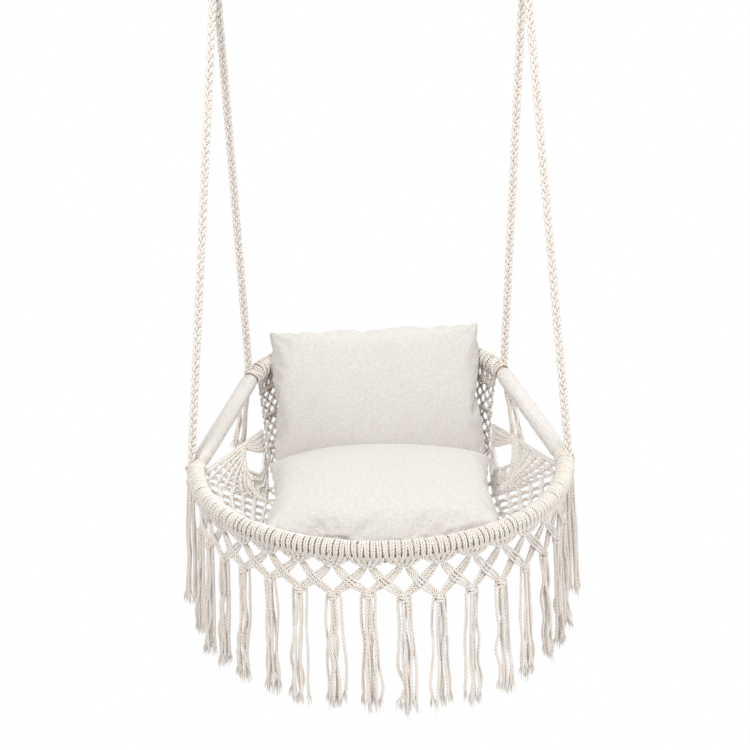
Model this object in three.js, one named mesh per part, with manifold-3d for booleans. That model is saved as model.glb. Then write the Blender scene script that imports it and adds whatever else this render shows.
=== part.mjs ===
// Macrame hammock chair, in millimetres, +Z up, the sitter facing -Y.
// Two steel rings hold four plaited ropes. The ropes hold a bent tube frame, which carries a knotted
// cotton web with two loose cushions, two padded arm sleeves and a knotted fringe with tassels.
// The origin is midway between the rings, on the line about which the chair swings.
import * as THREE from 'three';
import { mergeGeometries, mergeVertices } from 'three/addons/utils/BufferGeometryUtils.js';
import Module from 'manifold-3d';

const wasm = await Module();
wasm.setup();

// Clearances and general values
const SEAT_GAP = 0.3;
const WEB_GAP = 1;
const WEB_JOIN_GAP = 6;
const SEAT_REST_GAP = 3;
const BACK_REST_GAP = 5;
const CUT_OVERRUN = 4;
const MERGE_DISTANCE = 0.0005;
const DEGREE = Math.PI / 180;
const DOWN = new THREE.Vector3(0, 0, -1);

// Hang rings
const HANG_HALF_SPAN = 289.5;
const RING_RADIUS = 25;
const RING_BAR_RADIUS = 5;
const RING_SIDES = 8;
const RING_STEPS = 16;

// Tube frame: a half-round front, two straight arms and a shallow raised back
const FRAME_RADIUS = 374;
const FRAME_CENTRE_Y = -10;
const FRAME_CENTRE_DROP = 991;
const FRAME_TILT = 6 * DEGREE;
const FRONT_HALF_ANGLE = 84 * DEGREE;
const ARM_FRONT_Y = 5;
const ARM_FRONT_DROP = 985;
const ARM_BACK_X = 269;
const ARM_BACK_Y = 215;
const ARM_BACK_DROP = 864;
const BACK_PEAK_Y = 355;
const BACK_PEAK_DROP = 824;
const BACK_CORNER_REACH = 50;
const BACK_PEAK_REACH = 150;
const TUBE_RADIUS = 12.5;
const TUBE_WALL = 1.5;
const TUBE_SIDES = 8;
const SPIGOT_LENGTH = 28;
const SPIGOT_CLEARANCE = 0.8;
const FRONT_TUBE_STEPS = 36;
const BACK_TUBE_STEPS = 20;

// Cord wraps, rope hitches and arm sleeves on the frame
const WRAP_RADIUS = 17.75;
const WRAP_GROOVE_SHARE = 0.93;
const WRAP_SIDES = 8;
const LARKS_HEADS_PER_REPEAT = 2;
const BACK_LARKS_HEADS = 18;
const HITCH_RADIUS = 20;
const HITCH_WIDTH = 26;
const HITCH_TURNS = 2;
const HITCH_SIDES = 10;
const SLEEVE_RADIUS = 18.2;
const SLEEVE_END_RADIUS = 16;
const SLEEVE_END_LENGTH = 9;
const SLEEVE_SIDES = 12;
const SLEEVE_END_GAP = 4;

// Suspension ropes
const ROPE_RADIUS = 7;
const ROPE_SIDES = 8;
const ROPE_STEPS = 8;
const ROPE_OFFSET_Y = 8.5;
const ROPE_OUTSET = 11;
const EYE_CORD_RADIUS = 5;
const EYE_SIDES = 6;
const EYE_STEPS = 12;
const WHIPPING_TOP = 14;
const WHIPPING_BOTTOM = 62;
const WHIPPING_HALF_WIDTH = 10;
const WHIPPING_HALF_DEPTH = 17;
const WHIPPING_TURNS = 3;
const WHIPPING_SIDES = 8;
const TAIL_LENGTH_FRONT = 275;
const TAIL_LENGTH_BACK = 150;
const TAIL_RADIUS = 11;

// Fringe: a row of square knots under the rim, crossed cord bands and tassels
const TASSELS = 16;
const FRINGE_RUN_SHARE = 0.94;
const KNOT_HALF_WIDTH = 9;
const KNOT_HALF_HEIGHT = 8;
const KNOT_HALF_DEPTH = 5;
const BAND_RADIUS = 4.2;
const BAND_SIDES = 4;
const BAND_STEPS = 2;
const CROSSING_LIFT = 2.6;
const GATHER_DROP = 88;
const GATHER_HALF_SIZE = 6;
const TASSEL_KNOT_RADIUS = 8;
const TASSEL_KNOT_HEIGHT = 18;
const TASSEL_KNOT_SIDES = 6;
const TASSEL_RADIUS = 15;
const TASSEL_LOBES = 4;
const TASSEL_LENGTH_SHARES = [1, 1.03, 0.97, 1.02];
const TASSEL_LENGTH = 210;
const TASSEL_SWAY = 4;
const BUNDLE_NECK_SHARE = 0.45;
const BUNDLE_LOBE_SHARE = 0.78;
const BUNDLE_STEPS = 2;

// Woven seat, sides and back
const WEB_THICKNESS = 5;
const NET_FRONT_RUN_SHARE = 0.457;
const NET_REAR_INSET = 34;
const NET_REAR_Y = 240;
const NET_REAR_CURVE_DEPTH = 70;
const NET_REAR_DROP = 1060;
const FLOOR_SAG = 70;
const FLOOR_SIDE_RISE_SHARE = 0.6;
const FLOOR_RUN_SHARES = [0, 0.08, 0.2, 0.45, 0.78, 0.92, 1];
const FLOOR_SAG_SHARES = [0, 0.42, 0.8, 1.05, 1.0, 0.55, 0];
const SEAT_CELLS = 6;
const SIDE_CELLS_ALONG = 6;
const SIDE_CELLS_ACROSS = 3;
const BACK_CELLS_ALONG = 8;
const BACK_CELLS_DOWN = 4;
const CELL_HOLE_SHARE = 0.72;
const HOLE_SIDES = 4;
const SLOPE_SHARE = 0.01;
const SAG_STEPS = 84;
const BACK_BULGE_DEPTH = 14;
const SIDE_RIM_START_SHARE = 0.49;
const SIDE_RIM_END_SHARE = 0.977;
const SIDE_NET_END_SHARE = 0.7;
const WING_CELLS = 4;
const WING_TOP_SHARE = 0.6;
const RIB_RADIUS = 4.5;
const RIB_SHARES = [0.24, 0.8];
const RIB_STEPS = 10;
const RIB_SIDES = 6;

// Cushions
const SEAT_CUSHION_WIDTH = 468;
const SEAT_CUSHION_THICKNESS = 138;
const SEAT_CUSHION_RIM_GAP = 8;
const SEAT_CUSHION_PITCH = 2 * DEGREE;
const BACK_CUSHION_WIDTH = 450;
const BACK_CUSHION_HEIGHT = 315;
const BACK_CUSHION_THICKNESS = 130;
const BACK_CUSHION_WRAP_GAP = 19;
const CUSHIONS_GAP = 30;
const BACK_CUSHION_LEAN = 24 * DEGREE;
const CUSHION_CELLS = 8;
const CUSHION_EDGE = 8;
const CUSHION_ROLL = 150;
const CUSHION_WAIST_SHARE = 0.05;
const HALVINGS = 24;
const SEAT_FRONT_BOW_SHARE = 0.17;
const SEAT_FRONT_TAPER_SHARE = 0.14;

// Colours
const STEEL = { color: 0xb9bcbf, roughness: 0.35, metalness: 1 };
const COTTON_CORD = { color: 0xe9e4da, roughness: 0.95, metalness: 0 };
const COTTON_CLOTH = { color: 0xefece6, roughness: 0.92, metalness: 0 };
const FRAME_PAINT = { color: 0xd8d4cc, roughness: 0.6, metalness: 0.4 };

const chair = new THREE.Group();

// Adds one named piece to the chair
function addPiece(name, geometry, look) {
  const shape = geometry.index ? geometry.toNonIndexed() : geometry;
  shape.computeVertexNormals();
  const mesh = new THREE.Mesh(shape, new THREE.MeshStandardMaterial(look));
  mesh.name = name;
  chair.add(mesh);
  return mesh;
}

// Turns a closed geometry into a solid that can be joined or cut
function solidOf(geometry) {
  const bare = geometry.clone();
  bare.deleteAttribute('normal');
  bare.deleteAttribute('uv');
  const merged = mergeVertices(bare, MERGE_DISTANCE);
  const corners = merged.index.array;
  const kept = [];
  for (let i = 0; i < corners.length; i += 3) {
    const [a, b, c] = [corners[i], corners[i + 1], corners[i + 2]];
    if (a !== b && b !== c && c !== a) kept.push(a, b, c);
  }
  const vertProperties = new Float32Array(merged.attributes.position.array);
  const made = (triVerts) => new wasm.Manifold(new wasm.Mesh({ numProp: 3, vertProperties, triVerts }));
  const solid = made(new Uint32Array(kept));
  return solid.volume() > 0 ? solid : made(new Uint32Array(kept.reverse()));
}

// Turns a joined or cut solid back into a geometry
function geometryOf(solid) {
  const mesh = solid.getMesh();
  const geometry = new THREE.BufferGeometry();
  geometry.setAttribute('position', new THREE.BufferAttribute(mesh.vertProperties, 3));
  geometry.setIndex(new THREE.BufferAttribute(mesh.triVerts, 1));
  return geometry;
}

// Mirrors a geometry to the other side of the chair
function mirrored(geometry) {
  const copy = (geometry.index ? geometry.toNonIndexed() : geometry).clone();
  const place = copy.attributes.position;
  const [a, b] = [new THREE.Vector3(), new THREE.Vector3()];
  for (let i = 0; i < place.count; i += 3) {
    for (const k of [0, 1, 2]) place.setX(i + k, -place.getX(i + k));
    a.fromBufferAttribute(place, i);
    b.fromBufferAttribute(place, i + 1);
    place.setXYZ(i, b.x, b.y, b.z);
    place.setXYZ(i + 1, a.x, a.y, a.z);
  }
  return copy;
}

// Makes a right-hand piece and its mirrored left-hand twin
function addPair(name, geometry, look) {
  addPiece(`${name}_right`, geometry, look);
  addPiece(`${name}_left`, mirrored(geometry), look);
}

const roundSection = (radius, sides, lobeShare = 1) => {
  const points = [];
  for (let i = 0; i < sides; i++) {
    const angle = (2 * Math.PI * i) / sides;
    const reach = radius * (i % 2 ? lobeShare : 1);
    points.push(new THREE.Vector2(reach * Math.cos(angle), reach * Math.sin(angle)));
  }
  return new THREE.Shape(points);
};

// Sweeps a round or lobed section along a curve; scaleAt widens or narrows it station by station
function sweep(curve, radius, sides, steps, options = {}) {
  const { scaleAt, lobeShare = 1, bore = 0 } = options;
  const section = roundSection(radius, sides, lobeShare);
  if (bore) section.holes.push(new THREE.Path(roundSection(bore, sides).getPoints()));
  const geometry = new THREE.ExtrudeGeometry(section, { steps, extrudePath: curve, bevelEnabled: false });
  if (scaleAt) {
    const stations = curve.getSpacedPoints(steps);
    const place = geometry.attributes.position;
    const point = new THREE.Vector3();
    for (let i = 0; i < place.count; i++) {
      point.fromBufferAttribute(place, i);
      let nearest = 0;
      for (let k = 1; k <= steps; k++) {
        const closer = point.distanceToSquared(stations[k]) < point.distanceToSquared(stations[nearest]);
        if (closer) nearest = k;
      }
      point.sub(stations[nearest]).multiplyScalar(scaleAt(nearest, steps)).add(stations[nearest]);
      place.setXYZ(i, point.x, point.y, point.z);
    }
  }
  return geometry;
}

// Turns a lathed shape from its own Y axis to a direction, with its start at a point
function alongAxis(geometry, start, direction) {
  const turn = new THREE.Quaternion().setFromUnitVectors(new THREE.Vector3(0, 1, 0), direction);
  return geometry.applyQuaternion(turn).translate(start.x, start.y, start.z);
}

const lathe = (profile, sides) => new THREE.LatheGeometry(
  profile.map(([radius, height]) => new THREE.Vector2(radius, height)), sides);

// The frame's centre line, one half, from the middle of the front to the middle of the back
class FrontArc extends THREE.Curve {
  getPoint(share, target = new THREE.Vector3()) {
    const angle = share * FRONT_HALF_ANGLE;
    const forward = FRAME_RADIUS * Math.cos(angle);
    return target.set(
      FRAME_RADIUS * Math.sin(angle),
      FRAME_CENTRE_Y - forward * Math.cos(FRAME_TILT),
      -FRAME_CENTRE_DROP - forward * Math.sin(FRAME_TILT),
    );
  }
}
const armFront = new THREE.Vector3(FRAME_RADIUS, ARM_FRONT_Y, -ARM_FRONT_DROP);
const armBack = new THREE.Vector3(ARM_BACK_X, ARM_BACK_Y, -ARM_BACK_DROP);
const armDirection = armBack.clone().sub(armFront).normalize();
const backPeak = new THREE.Vector3(0, BACK_PEAK_Y, -BACK_PEAK_DROP);
const frontArc = new FrontArc();
const arcEnd = frontArc.getPoint(1);
const bendReach = arcEnd.distanceTo(armFront) / 2;
const bendCorner = arcEnd.clone().addScaledVector(frontArc.getTangent(1), bendReach)
  .add(armFront.clone().addScaledVector(armDirection, -bendReach)).multiplyScalar(1 / 2);

const halfFrame = new THREE.CurvePath();
halfFrame.add(frontArc);
halfFrame.add(new THREE.QuadraticBezierCurve3(arcEnd, bendCorner, armFront));
halfFrame.add(new THREE.LineCurve3(armFront, armBack));
halfFrame.add(new THREE.CubicBezierCurve3(
  armBack,
  armBack.clone().addScaledVector(armDirection, BACK_CORNER_REACH),
  backPeak.clone().setX(BACK_PEAK_REACH),
  backPeak,
));
const [arcLength, bendLength, armLength] = halfFrame.getCurveLengths()
  .map((length, i, lengths) => length - (i ? lengths[i - 1] : 0));
const halfLength = halfFrame.getLength();

// A stretch of the frame between two distances from the middle of the front, positive to the right;
// distances past half the loop carry on round the back
class FrameRun extends THREE.Curve {
  constructor(from, to) {
    super();
    this.from = from;
    this.to = to;
  }

  getPoint(share, target = new THREE.Vector3()) {
    let distance = this.from + (this.to - this.from) * share;
    if (distance > halfLength) distance -= 2 * halfLength;
    target.copy(halfFrame.getPointAt(Math.min(1, Math.abs(distance) / halfLength)));
    if (distance < 0) target.x = -target.x;
    return target;
  }
}
const framePoint = (distance) => new FrameRun(distance, distance).getPoint(0);

const armStart = arcLength + bendLength;
const armEnd = armStart + armLength;
const wrapEnd = armStart - HITCH_WIDTH - SEAT_GAP;
const backHitchEnd = armEnd + HITCH_WIDTH + SEAT_GAP;
const backWrapEnd = 2 * halfLength - backHitchEnd;

// Frame tubes: the arms plug into the front and back tubes with reduced ends
const jointFront = armStart + (2 * armStart) / (FRONT_TUBE_STEPS - 2);
const jointBack = armEnd - (2 * (halfLength - armEnd)) / (BACK_TUBE_STEPS - 2);
const frontRun = new FrameRun(-jointFront, jointFront);
const backRun = new FrameRun(jointBack, 2 * halfLength - jointBack);
const tubeBore = { bore: TUBE_RADIUS - TUBE_WALL };
const frontTube = sweep(frontRun, TUBE_RADIUS, TUBE_SIDES, FRONT_TUBE_STEPS, tubeBore);
const backTube = sweep(backRun, TUBE_RADIUS, TUBE_SIDES, BACK_TUBE_STEPS, tubeBore);
addPiece('frame_front_tube', frontTube, FRAME_PAINT);
addPiece('frame_back_tube', backTube, FRAME_PAINT);

function armTube() {
  const length = jointBack - jointFront - 2 * SEAT_GAP;
  const plug = TUBE_RADIUS - TUBE_WALL - SPIGOT_CLEARANCE;
  const bore = plug - TUBE_WALL;
  const profile = [
    [bore, -SPIGOT_LENGTH], [plug, -SPIGOT_LENGTH], [plug, 0], [TUBE_RADIUS, 0], [TUBE_RADIUS, length],
    [plug, length], [plug, length + SPIGOT_LENGTH], [bore, length + SPIGOT_LENGTH], [bore, -SPIGOT_LENGTH],
  ];
  const start = framePoint(jointFront).addScaledVector(armDirection, SEAT_GAP);
  return alongAxis(lathe(profile, TUBE_SIDES), start, armDirection);
}
addPair('frame_arm_tube', armTube(), FRAME_PAINT);

// Cord wound on the frame: a row of rounded turns with a bore that clears the tube
const frontBore = solidOf(sweep(frontRun, TUBE_RADIUS + SEAT_GAP, TUBE_SIDES, FRONT_TUBE_STEPS));
const backBore = solidOf(sweep(backRun, TUBE_RADIUS + SEAT_GAP, TUBE_SIDES, BACK_TUBE_STEPS));
function wound(from, to, turns, radius, sides, bore) {
  const scaleAt = (station) => (station % 2 ? 1 : WRAP_GROOVE_SHARE);
  const turnsSolid = solidOf(sweep(new FrameRun(from, to), radius, sides, 2 * turns, { scaleAt }));
  return geometryOf(turnsSolid.subtract(bore));
}
const frontLarksHeads = TASSELS * LARKS_HEADS_PER_REPEAT;
addPiece('front_wrap',
  wound(-wrapEnd, wrapEnd, frontLarksHeads, WRAP_RADIUS, WRAP_SIDES, frontBore), COTTON_CORD);
addPiece('back_wrap',
  wound(backHitchEnd, backWrapEnd, BACK_LARKS_HEADS, WRAP_RADIUS, WRAP_SIDES, backBore), COTTON_CORD);
const frontHitchStart = wrapEnd + SEAT_GAP;
const hitchRun = HITCH_WIDTH - SEAT_GAP;
addPair('rope_hitch_front',
  wound(frontHitchStart, frontHitchStart + hitchRun, HITCH_TURNS, HITCH_RADIUS, HITCH_SIDES, frontBore),
  COTTON_CORD);
addPair('rope_hitch_back',
  wound(armEnd, armEnd + hitchRun, HITCH_TURNS, HITCH_RADIUS, HITCH_SIDES, backBore), COTTON_CORD);

// Padded cloth sleeve on each arm, gathered at both ends
function armSleeve() {
  const length = armLength - 2 * SLEEVE_END_GAP;
  const boreRadius = (TUBE_RADIUS + SEAT_GAP) / Math.cos(Math.PI / SLEEVE_SIDES);
  const profile = [
    [boreRadius, 0], [SLEEVE_END_RADIUS, 0], [SLEEVE_RADIUS, SLEEVE_END_LENGTH],
    [SLEEVE_RADIUS, length / 2], [SLEEVE_RADIUS, length - SLEEVE_END_LENGTH],
    [SLEEVE_END_RADIUS, length], [boreRadius, length], [boreRadius, 0],
  ];
  const start = armFront.clone().addScaledVector(armDirection, SLEEVE_END_GAP);
  return alongAxis(lathe(profile, SLEEVE_SIDES), start, armDirection);
}
addPair('arm_sleeve', armSleeve(), COTTON_CLOTH);

// What must stay clear round a stretch of cord on the frame
function clearance(from, to, turns, radius, sides) {
  const run = new FrameRun(from - SEAT_GAP, to + SEAT_GAP);
  return solidOf(sweep(run, radius + SEAT_GAP, sides, 2 * turns));
}
const hitchClearance = (start) => clearance(start, start + hitchRun, HITCH_TURNS, HITCH_RADIUS, HITCH_SIDES);

// Hang rings, which stay still, and the rope eyes that swing on them
function hangRing() {
  const ring = new THREE.TorusGeometry(RING_RADIUS, RING_BAR_RADIUS, RING_SIDES, RING_STEPS);
  return ring.rotateX(Math.PI / 2).translate(HANG_HALF_SPAN, 0, RING_RADIUS);
}
addPair('hang_ring', hangRing(), STEEL);

function ropeEye() {
  const bore = (RING_BAR_RADIUS + SEAT_GAP) / Math.cos(Math.PI / EYE_STEPS);
  const eye = new THREE.TorusGeometry(bore + EYE_CORD_RADIUS, EYE_CORD_RADIUS, EYE_SIDES, EYE_STEPS);
  eye.rotateY(Math.PI / 2);
  const turnHeight = (WHIPPING_BOTTOM - WHIPPING_TOP) / WHIPPING_TURNS;
  const profile = [[0, -WHIPPING_BOTTOM], [WRAP_GROOVE_SHARE, -WHIPPING_BOTTOM]];
  for (let i = 0; i < WHIPPING_TURNS; i++) {
    const bottom = -WHIPPING_BOTTOM + i * turnHeight;
    profile.push([1, bottom + turnHeight / 2], [WRAP_GROOVE_SHARE, bottom + turnHeight]);
  }
  profile.push([0, -WHIPPING_TOP]);
  const whipping = lathe(profile, WHIPPING_SIDES).rotateX(Math.PI / 2)
    .scale(WHIPPING_HALF_WIDTH, WHIPPING_HALF_DEPTH, 1);
  return geometryOf(solidOf(eye).add(solidOf(whipping))).translate(HANG_HALF_SPAN, 0, 0);
}
addPair('rope_eye', ropeEye(), COTTON_CORD);

// Four plaited ropes from the eyes to the outside of the frame, cut where they lie on their hitches
function rope(side, distance) {
  const foot = framePoint(distance);
  const top = new THREE.Vector3(HANG_HALF_SPAN, side * ROPE_OFFSET_Y, -WHIPPING_BOTTOM);
  const end = foot.clone().setX(foot.x + ROPE_OUTSET);
  const direction = end.clone().sub(top).normalize();
  const lean = Math.sqrt(1 - direction.z * direction.z);
  top.addScaledVector(direction, SEAT_GAP + ROPE_RADIUS * lean);
  const tube = sweep(new THREE.LineCurve3(top, end), ROPE_RADIUS, ROPE_SIDES, ROPE_STEPS);
  return geometryOf(solidOf(tube).subtract(hitchClearance(distance - hitchRun / 2)));
}
const frontHitchMiddle = frontHitchStart + hitchRun / 2;
const backHitchMiddle = armEnd + hitchRun / 2;
addPair('rope_front', rope(-1, frontHitchMiddle), COTTON_CORD);
addPair('rope_back', rope(1, backHitchMiddle), COTTON_CORD);

// A bundle of loose strands that hangs from a point, wider towards its lower end
function bundle(top, length, radius, sway) {
  const middle = top.clone().addScaledVector(DOWN, length / 2);
  middle.x += sway;
  const bottom = top.clone().addScaledVector(DOWN, length);
  const path = new THREE.QuadraticBezierCurve3(top, middle, bottom);
  const scaleAt = (station, steps) => {
    const share = station / steps;
    return BUNDLE_NECK_SHARE + (1 - BUNDLE_NECK_SHARE) * Math.sin((share * Math.PI) / 2);
  };
  return sweep(path, radius, 2 * TASSEL_LOBES, BUNDLE_STEPS, { scaleAt, lobeShare: BUNDLE_LOBE_SHARE });
}

// The unplaited rope ends below each hitch
function ropeTail(distance, length) {
  const foot = framePoint(distance);
  const strands = solidOf(bundle(foot, length + HITCH_RADIUS, TAIL_RADIUS, 0));
  return geometryOf(strands.subtract(hitchClearance(distance - hitchRun / 2)));
}
addPair('rope_tail_front', ropeTail(frontHitchMiddle, TAIL_LENGTH_FRONT), COTTON_CORD);
addPair('rope_tail_back', ropeTail(backHitchMiddle, TAIL_LENGTH_BACK), COTTON_CORD);

// Fringe: places are counted in repeats along the rim from its left end, with a drop below its centre
// line and a lift outwards
function fringePlace(repeat, drop, lift = 0) {
  const distance = FRINGE_RUN_SHARE * wrapEnd * ((2 * repeat) / TASSELS - 1);
  const point = framePoint(distance);
  const along = new FrameRun(distance - WEB_GAP, distance + WEB_GAP).getTangent(1 / 2);
  const heading = Math.atan2(along.y, along.x);
  const outward = new THREE.Vector3(Math.sin(heading), -Math.cos(heading), 0);
  point.addScaledVector(DOWN, drop).addScaledVector(outward, lift);
  return { point, heading };
}

function knotBlock(repeat, drop, halfWidth, halfHeight, halfDepth) {
  const { point, heading } = fringePlace(repeat, drop);
  const block = new THREE.BoxGeometry(2 * halfWidth, 2 * halfDepth, 2 * halfHeight).rotateZ(heading);
  return solidOf(block.translate(point.x, point.y, point.z));
}

const knotDrop = WRAP_RADIUS + WEB_GAP + KNOT_HALF_HEIGHT;

// One band of three cords between a square knot and the gathering point of the next tassel
function band(repeat, direction) {
  const start = fringePlace(repeat, knotDrop).point;
  const crossingDrop = (knotDrop + GATHER_DROP) / 2;
  const middle = fringePlace(repeat + direction / 2, crossingDrop, direction * CROSSING_LIFT).point;
  const end = fringePlace(repeat + direction, GATHER_DROP).point;
  const path = new THREE.CatmullRomCurve3([start, middle, end]);
  return solidOf(sweep(path, BAND_RADIUS, BAND_SIDES, BAND_STEPS));
}

function fringeLattice() {
  let lattice = null;
  const join = (solid) => {
    lattice = lattice ? lattice.add(solid) : solid;
  };
  for (let i = 0; i < TASSELS; i++) {
    const repeat = i + 1 / 2;
    join(knotBlock(repeat, knotDrop, KNOT_HALF_WIDTH, KNOT_HALF_HEIGHT, KNOT_HALF_DEPTH));
    join(knotBlock(repeat, GATHER_DROP, GATHER_HALF_SIZE, GATHER_HALF_SIZE, GATHER_HALF_SIZE));
    if (i < TASSELS - 1) join(band(repeat, 1));
    if (i > 0) join(band(repeat, -1));
  }
  return geometryOf(lattice);
}
addPiece('fringe_lattice', fringeLattice(), COTTON_CORD);

// Tassels: a gathering knot with its skirt of strands
function tassel(index) {
  const top = fringePlace(index + 1 / 2, GATHER_DROP + GATHER_HALF_SIZE + SEAT_GAP).point;
  const half = TASSEL_KNOT_HEIGHT / 2;
  const profile = [
    [0, 0], [TASSEL_KNOT_RADIUS, half / 2], [TASSEL_KNOT_RADIUS, half + half / 2], [0, TASSEL_KNOT_HEIGHT],
  ];
  const knot = lathe(profile, TASSEL_KNOT_SIDES).rotateX(Math.PI / 2);
  knot.translate(top.x, top.y, top.z - TASSEL_KNOT_HEIGHT);
  const neck = top.clone().addScaledVector(DOWN, half);
  const fromEnd = Math.min(index, TASSELS - 1 - index);
  const length = TASSEL_LENGTH * TASSEL_LENGTH_SHARES[fromEnd % TASSEL_LENGTH_SHARES.length];
  const sway = (index === fromEnd ? 1 : -1) * (fromEnd % 2 ? TASSEL_SWAY : -TASSEL_SWAY);
  return geometryOf(solidOf(knot).add(solidOf(bundle(neck, length, TASSEL_RADIUS, sway))));
}
for (let i = 0; i < TASSELS; i++) {
  addPiece(`tassel_${String(i + 1).padStart(2, '0')}`, tassel(i), COTTON_CORD);
}

// Curved sheets of knotted net: a bent slab with a diamond opening between each four knots
function bentPoint(surface, u, v, height) {
  const [left, right] = [Math.max(0, u - SLOPE_SHARE), Math.min(1, u + SLOPE_SHARE)];
  const [start, end] = [Math.max(0, v - SLOPE_SHARE), Math.min(1, v + SLOPE_SHARE)];
  const alongU = surface(right, v).sub(surface(left, v));
  const alongV = surface(u, end).sub(surface(u, start));
  const normal = alongU.cross(alongV).normalize();
  return surface(u, v).addScaledVector(normal, height);
}

function bend(geometry, surface, spanU, spanV, thickness) {
  const place = geometry.attributes.position;
  for (let i = 0; i < place.count; i++) {
    const u = spanU[0] + (place.getX(i) + 1 / 2) * (spanU[1] - spanU[0]);
    const v = spanV[0] + (place.getY(i) + 1 / 2) * (spanV[1] - spanV[0]);
    const point = bentPoint(surface, u, v, place.getZ(i) * thickness);
    place.setXYZ(i, point.x, point.y, point.z);
  }
  return geometry;
}

function sheet(surface, cellsU, cellsV) {
  const slab = new THREE.BoxGeometry(1, 1, 1, cellsU, cellsV, 1);
  return solidOf(bend(slab, surface, [0, 1], [0, 1], WEB_THICKNESS));
}

function net(surface, cellsU, cellsV) {
  const holes = [];
  for (let i = 1; i < cellsU; i++) {
    for (let j = 1; j < cellsV; j++) {
      if ((i + j) % 2) continue;
      const hole = new THREE.CylinderGeometry(1, 1, 1, HOLE_SIDES).rotateX(Math.PI / 2);
      const spanU = CELL_HOLE_SHARE / cellsU;
      const spanV = CELL_HOLE_SHARE / cellsV;
      holes.push(bend(hole, surface, [i / cellsU - spanU / 2, i / cellsU + spanU / 2],
        [j / cellsV - spanV / 2, j / cellsV + spanV / 2], WEB_THICKNESS + CUT_OVERRUN));
    }
  }
  return sheet(surface, cellsU, cellsV).subtract(solidOf(mergeGeometries(holes)));
}

// The seat net runs from the rim to the foot of the back panel, with a floor that sags between them
const sagCurve = new THREE.CatmullRomCurve3(
  FLOOR_RUN_SHARES.map((share, i) => new THREE.Vector3(share, FLOOR_SAG_SHARES[i], 0)), false, 'centripetal');
const sagTable = sagCurve.getPoints(SAG_STEPS);
function sagShare(run) {
  const past = sagTable.findIndex((point) => point.x >= Math.min(run, 1));
  const next = past < 1 ? (past ? sagTable.length - 1 : 1) : past;
  const [low, high] = [sagTable[next - 1], sagTable[next]];
  return low.y + ((high.y - low.y) * (run - low.x)) / (high.x - low.x);
}
const netRearHalfWidth = ARM_BACK_X - NET_REAR_INSET;
const rearEdge = (across) => new THREE.Vector3(
  across * netRearHalfWidth,
  NET_REAR_Y - NET_REAR_CURVE_DEPTH * across * across,
  -NET_REAR_DROP,
);
function seatSurface(u, v) {
  const across = 2 * u - 1;
  const front = framePoint(across * NET_FRONT_RUN_SHARE * wrapEnd);
  front.z -= WRAP_RADIUS / 2;
  const point = front.lerp(rearEdge(across), v);
  point.z -= FLOOR_SAG * sagShare(v) * (1 - FLOOR_SIDE_RISE_SHARE * across * across);
  return point;
}
const rimClear = clearance(-wrapEnd, wrapEnd, frontLarksHeads, WRAP_RADIUS, WRAP_SIDES)
  .add(hitchClearance(frontHitchStart)).add(hitchClearance(-frontHitchStart - hitchRun));
const seatNet = net(seatSurface, SEAT_CELLS, SEAT_CELLS).subtract(rimClear);
addPiece('seat_net', geometryOf(seatNet), COTTON_CORD);

// Side nets from the seat's edge out to the rim
function sideSurface(u, v) {
  const start = seatSurface(1, u * SIDE_NET_END_SHARE);
  start.x += WEB_GAP;
  const rim = framePoint(wrapEnd * (SIDE_RIM_START_SHARE + (SIDE_RIM_END_SHARE - SIDE_RIM_START_SHARE) * u));
  rim.z -= WRAP_RADIUS / 2;
  return start.lerp(rim, v);
}
const sideNet = net(sideSurface, SIDE_CELLS_ALONG, SIDE_CELLS_ACROSS).subtract(rimClear);
addPair('side_net', geometryOf(sideNet), COTTON_CORD);

// Back panel from the back of the frame down to the rear edge of the seat net, with two thick ribs
function backSurface(u, v) {
  const across = 2 * u - 1;
  const top = framePoint(backWrapEnd + (backHitchEnd - backWrapEnd) * u);
  top.z -= WRAP_RADIUS / 2;
  const foot = rearEdge(across);
  foot.z += WEB_JOIN_GAP;
  const point = top.lerp(foot, v);
  point.y += BACK_BULGE_DEPTH * Math.sin(Math.PI * v);
  return point;
}
const backClear = clearance(backHitchEnd, backWrapEnd, BACK_LARKS_HEADS, WRAP_RADIUS, WRAP_SIDES)
  .add(hitchClearance(armEnd)).add(hitchClearance(2 * halfLength - armEnd - hitchRun));
const backPanel = net(backSurface, BACK_CELLS_ALONG, BACK_CELLS_DOWN).subtract(backClear);
addPiece('back_panel', geometryOf(backPanel), COTTON_CORD);

// Solid half-hitched wings that join the back panel, the seat net and the side nets
function wingSurface(u, v) {
  const rear = backSurface(1, WING_TOP_SHARE + (1 - WING_TOP_SHARE) * v);
  const front = sideSurface(1, 1 - v);
  const seatEdge = seatSurface(1, 1 - (1 - SIDE_NET_END_SHARE) * u);
  const point = rear.clone().lerp(front, u);
  const straight = backSurface(1, 1).lerp(sideSurface(1, 0), u);
  point.addScaledVector(seatEdge.sub(straight), v * v);
  point.x += WEB_JOIN_GAP * (1 - u / 2);
  point.y += SEAT_GAP * u;
  return point;
}
addPair('wing', geometryOf(sheet(wingSurface, WING_CELLS, WING_CELLS).subtract(rimClear)), COTTON_CORD);

RIB_SHARES.forEach((share, i) => {
  const points = [];
  for (let k = 0; k <= RIB_STEPS; k++) {
    points.push(bentPoint(backSurface, k / RIB_STEPS, share, WEB_THICKNESS / 2 + RIB_RADIUS + WEB_GAP));
  }
  const rib = sweep(new THREE.CatmullRomCurve3(points), RIB_RADIUS, RIB_SIDES, RIB_STEPS);
  addPiece(`back_rib_${i + 1}`, rib, COTTON_CORD);
});

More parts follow.
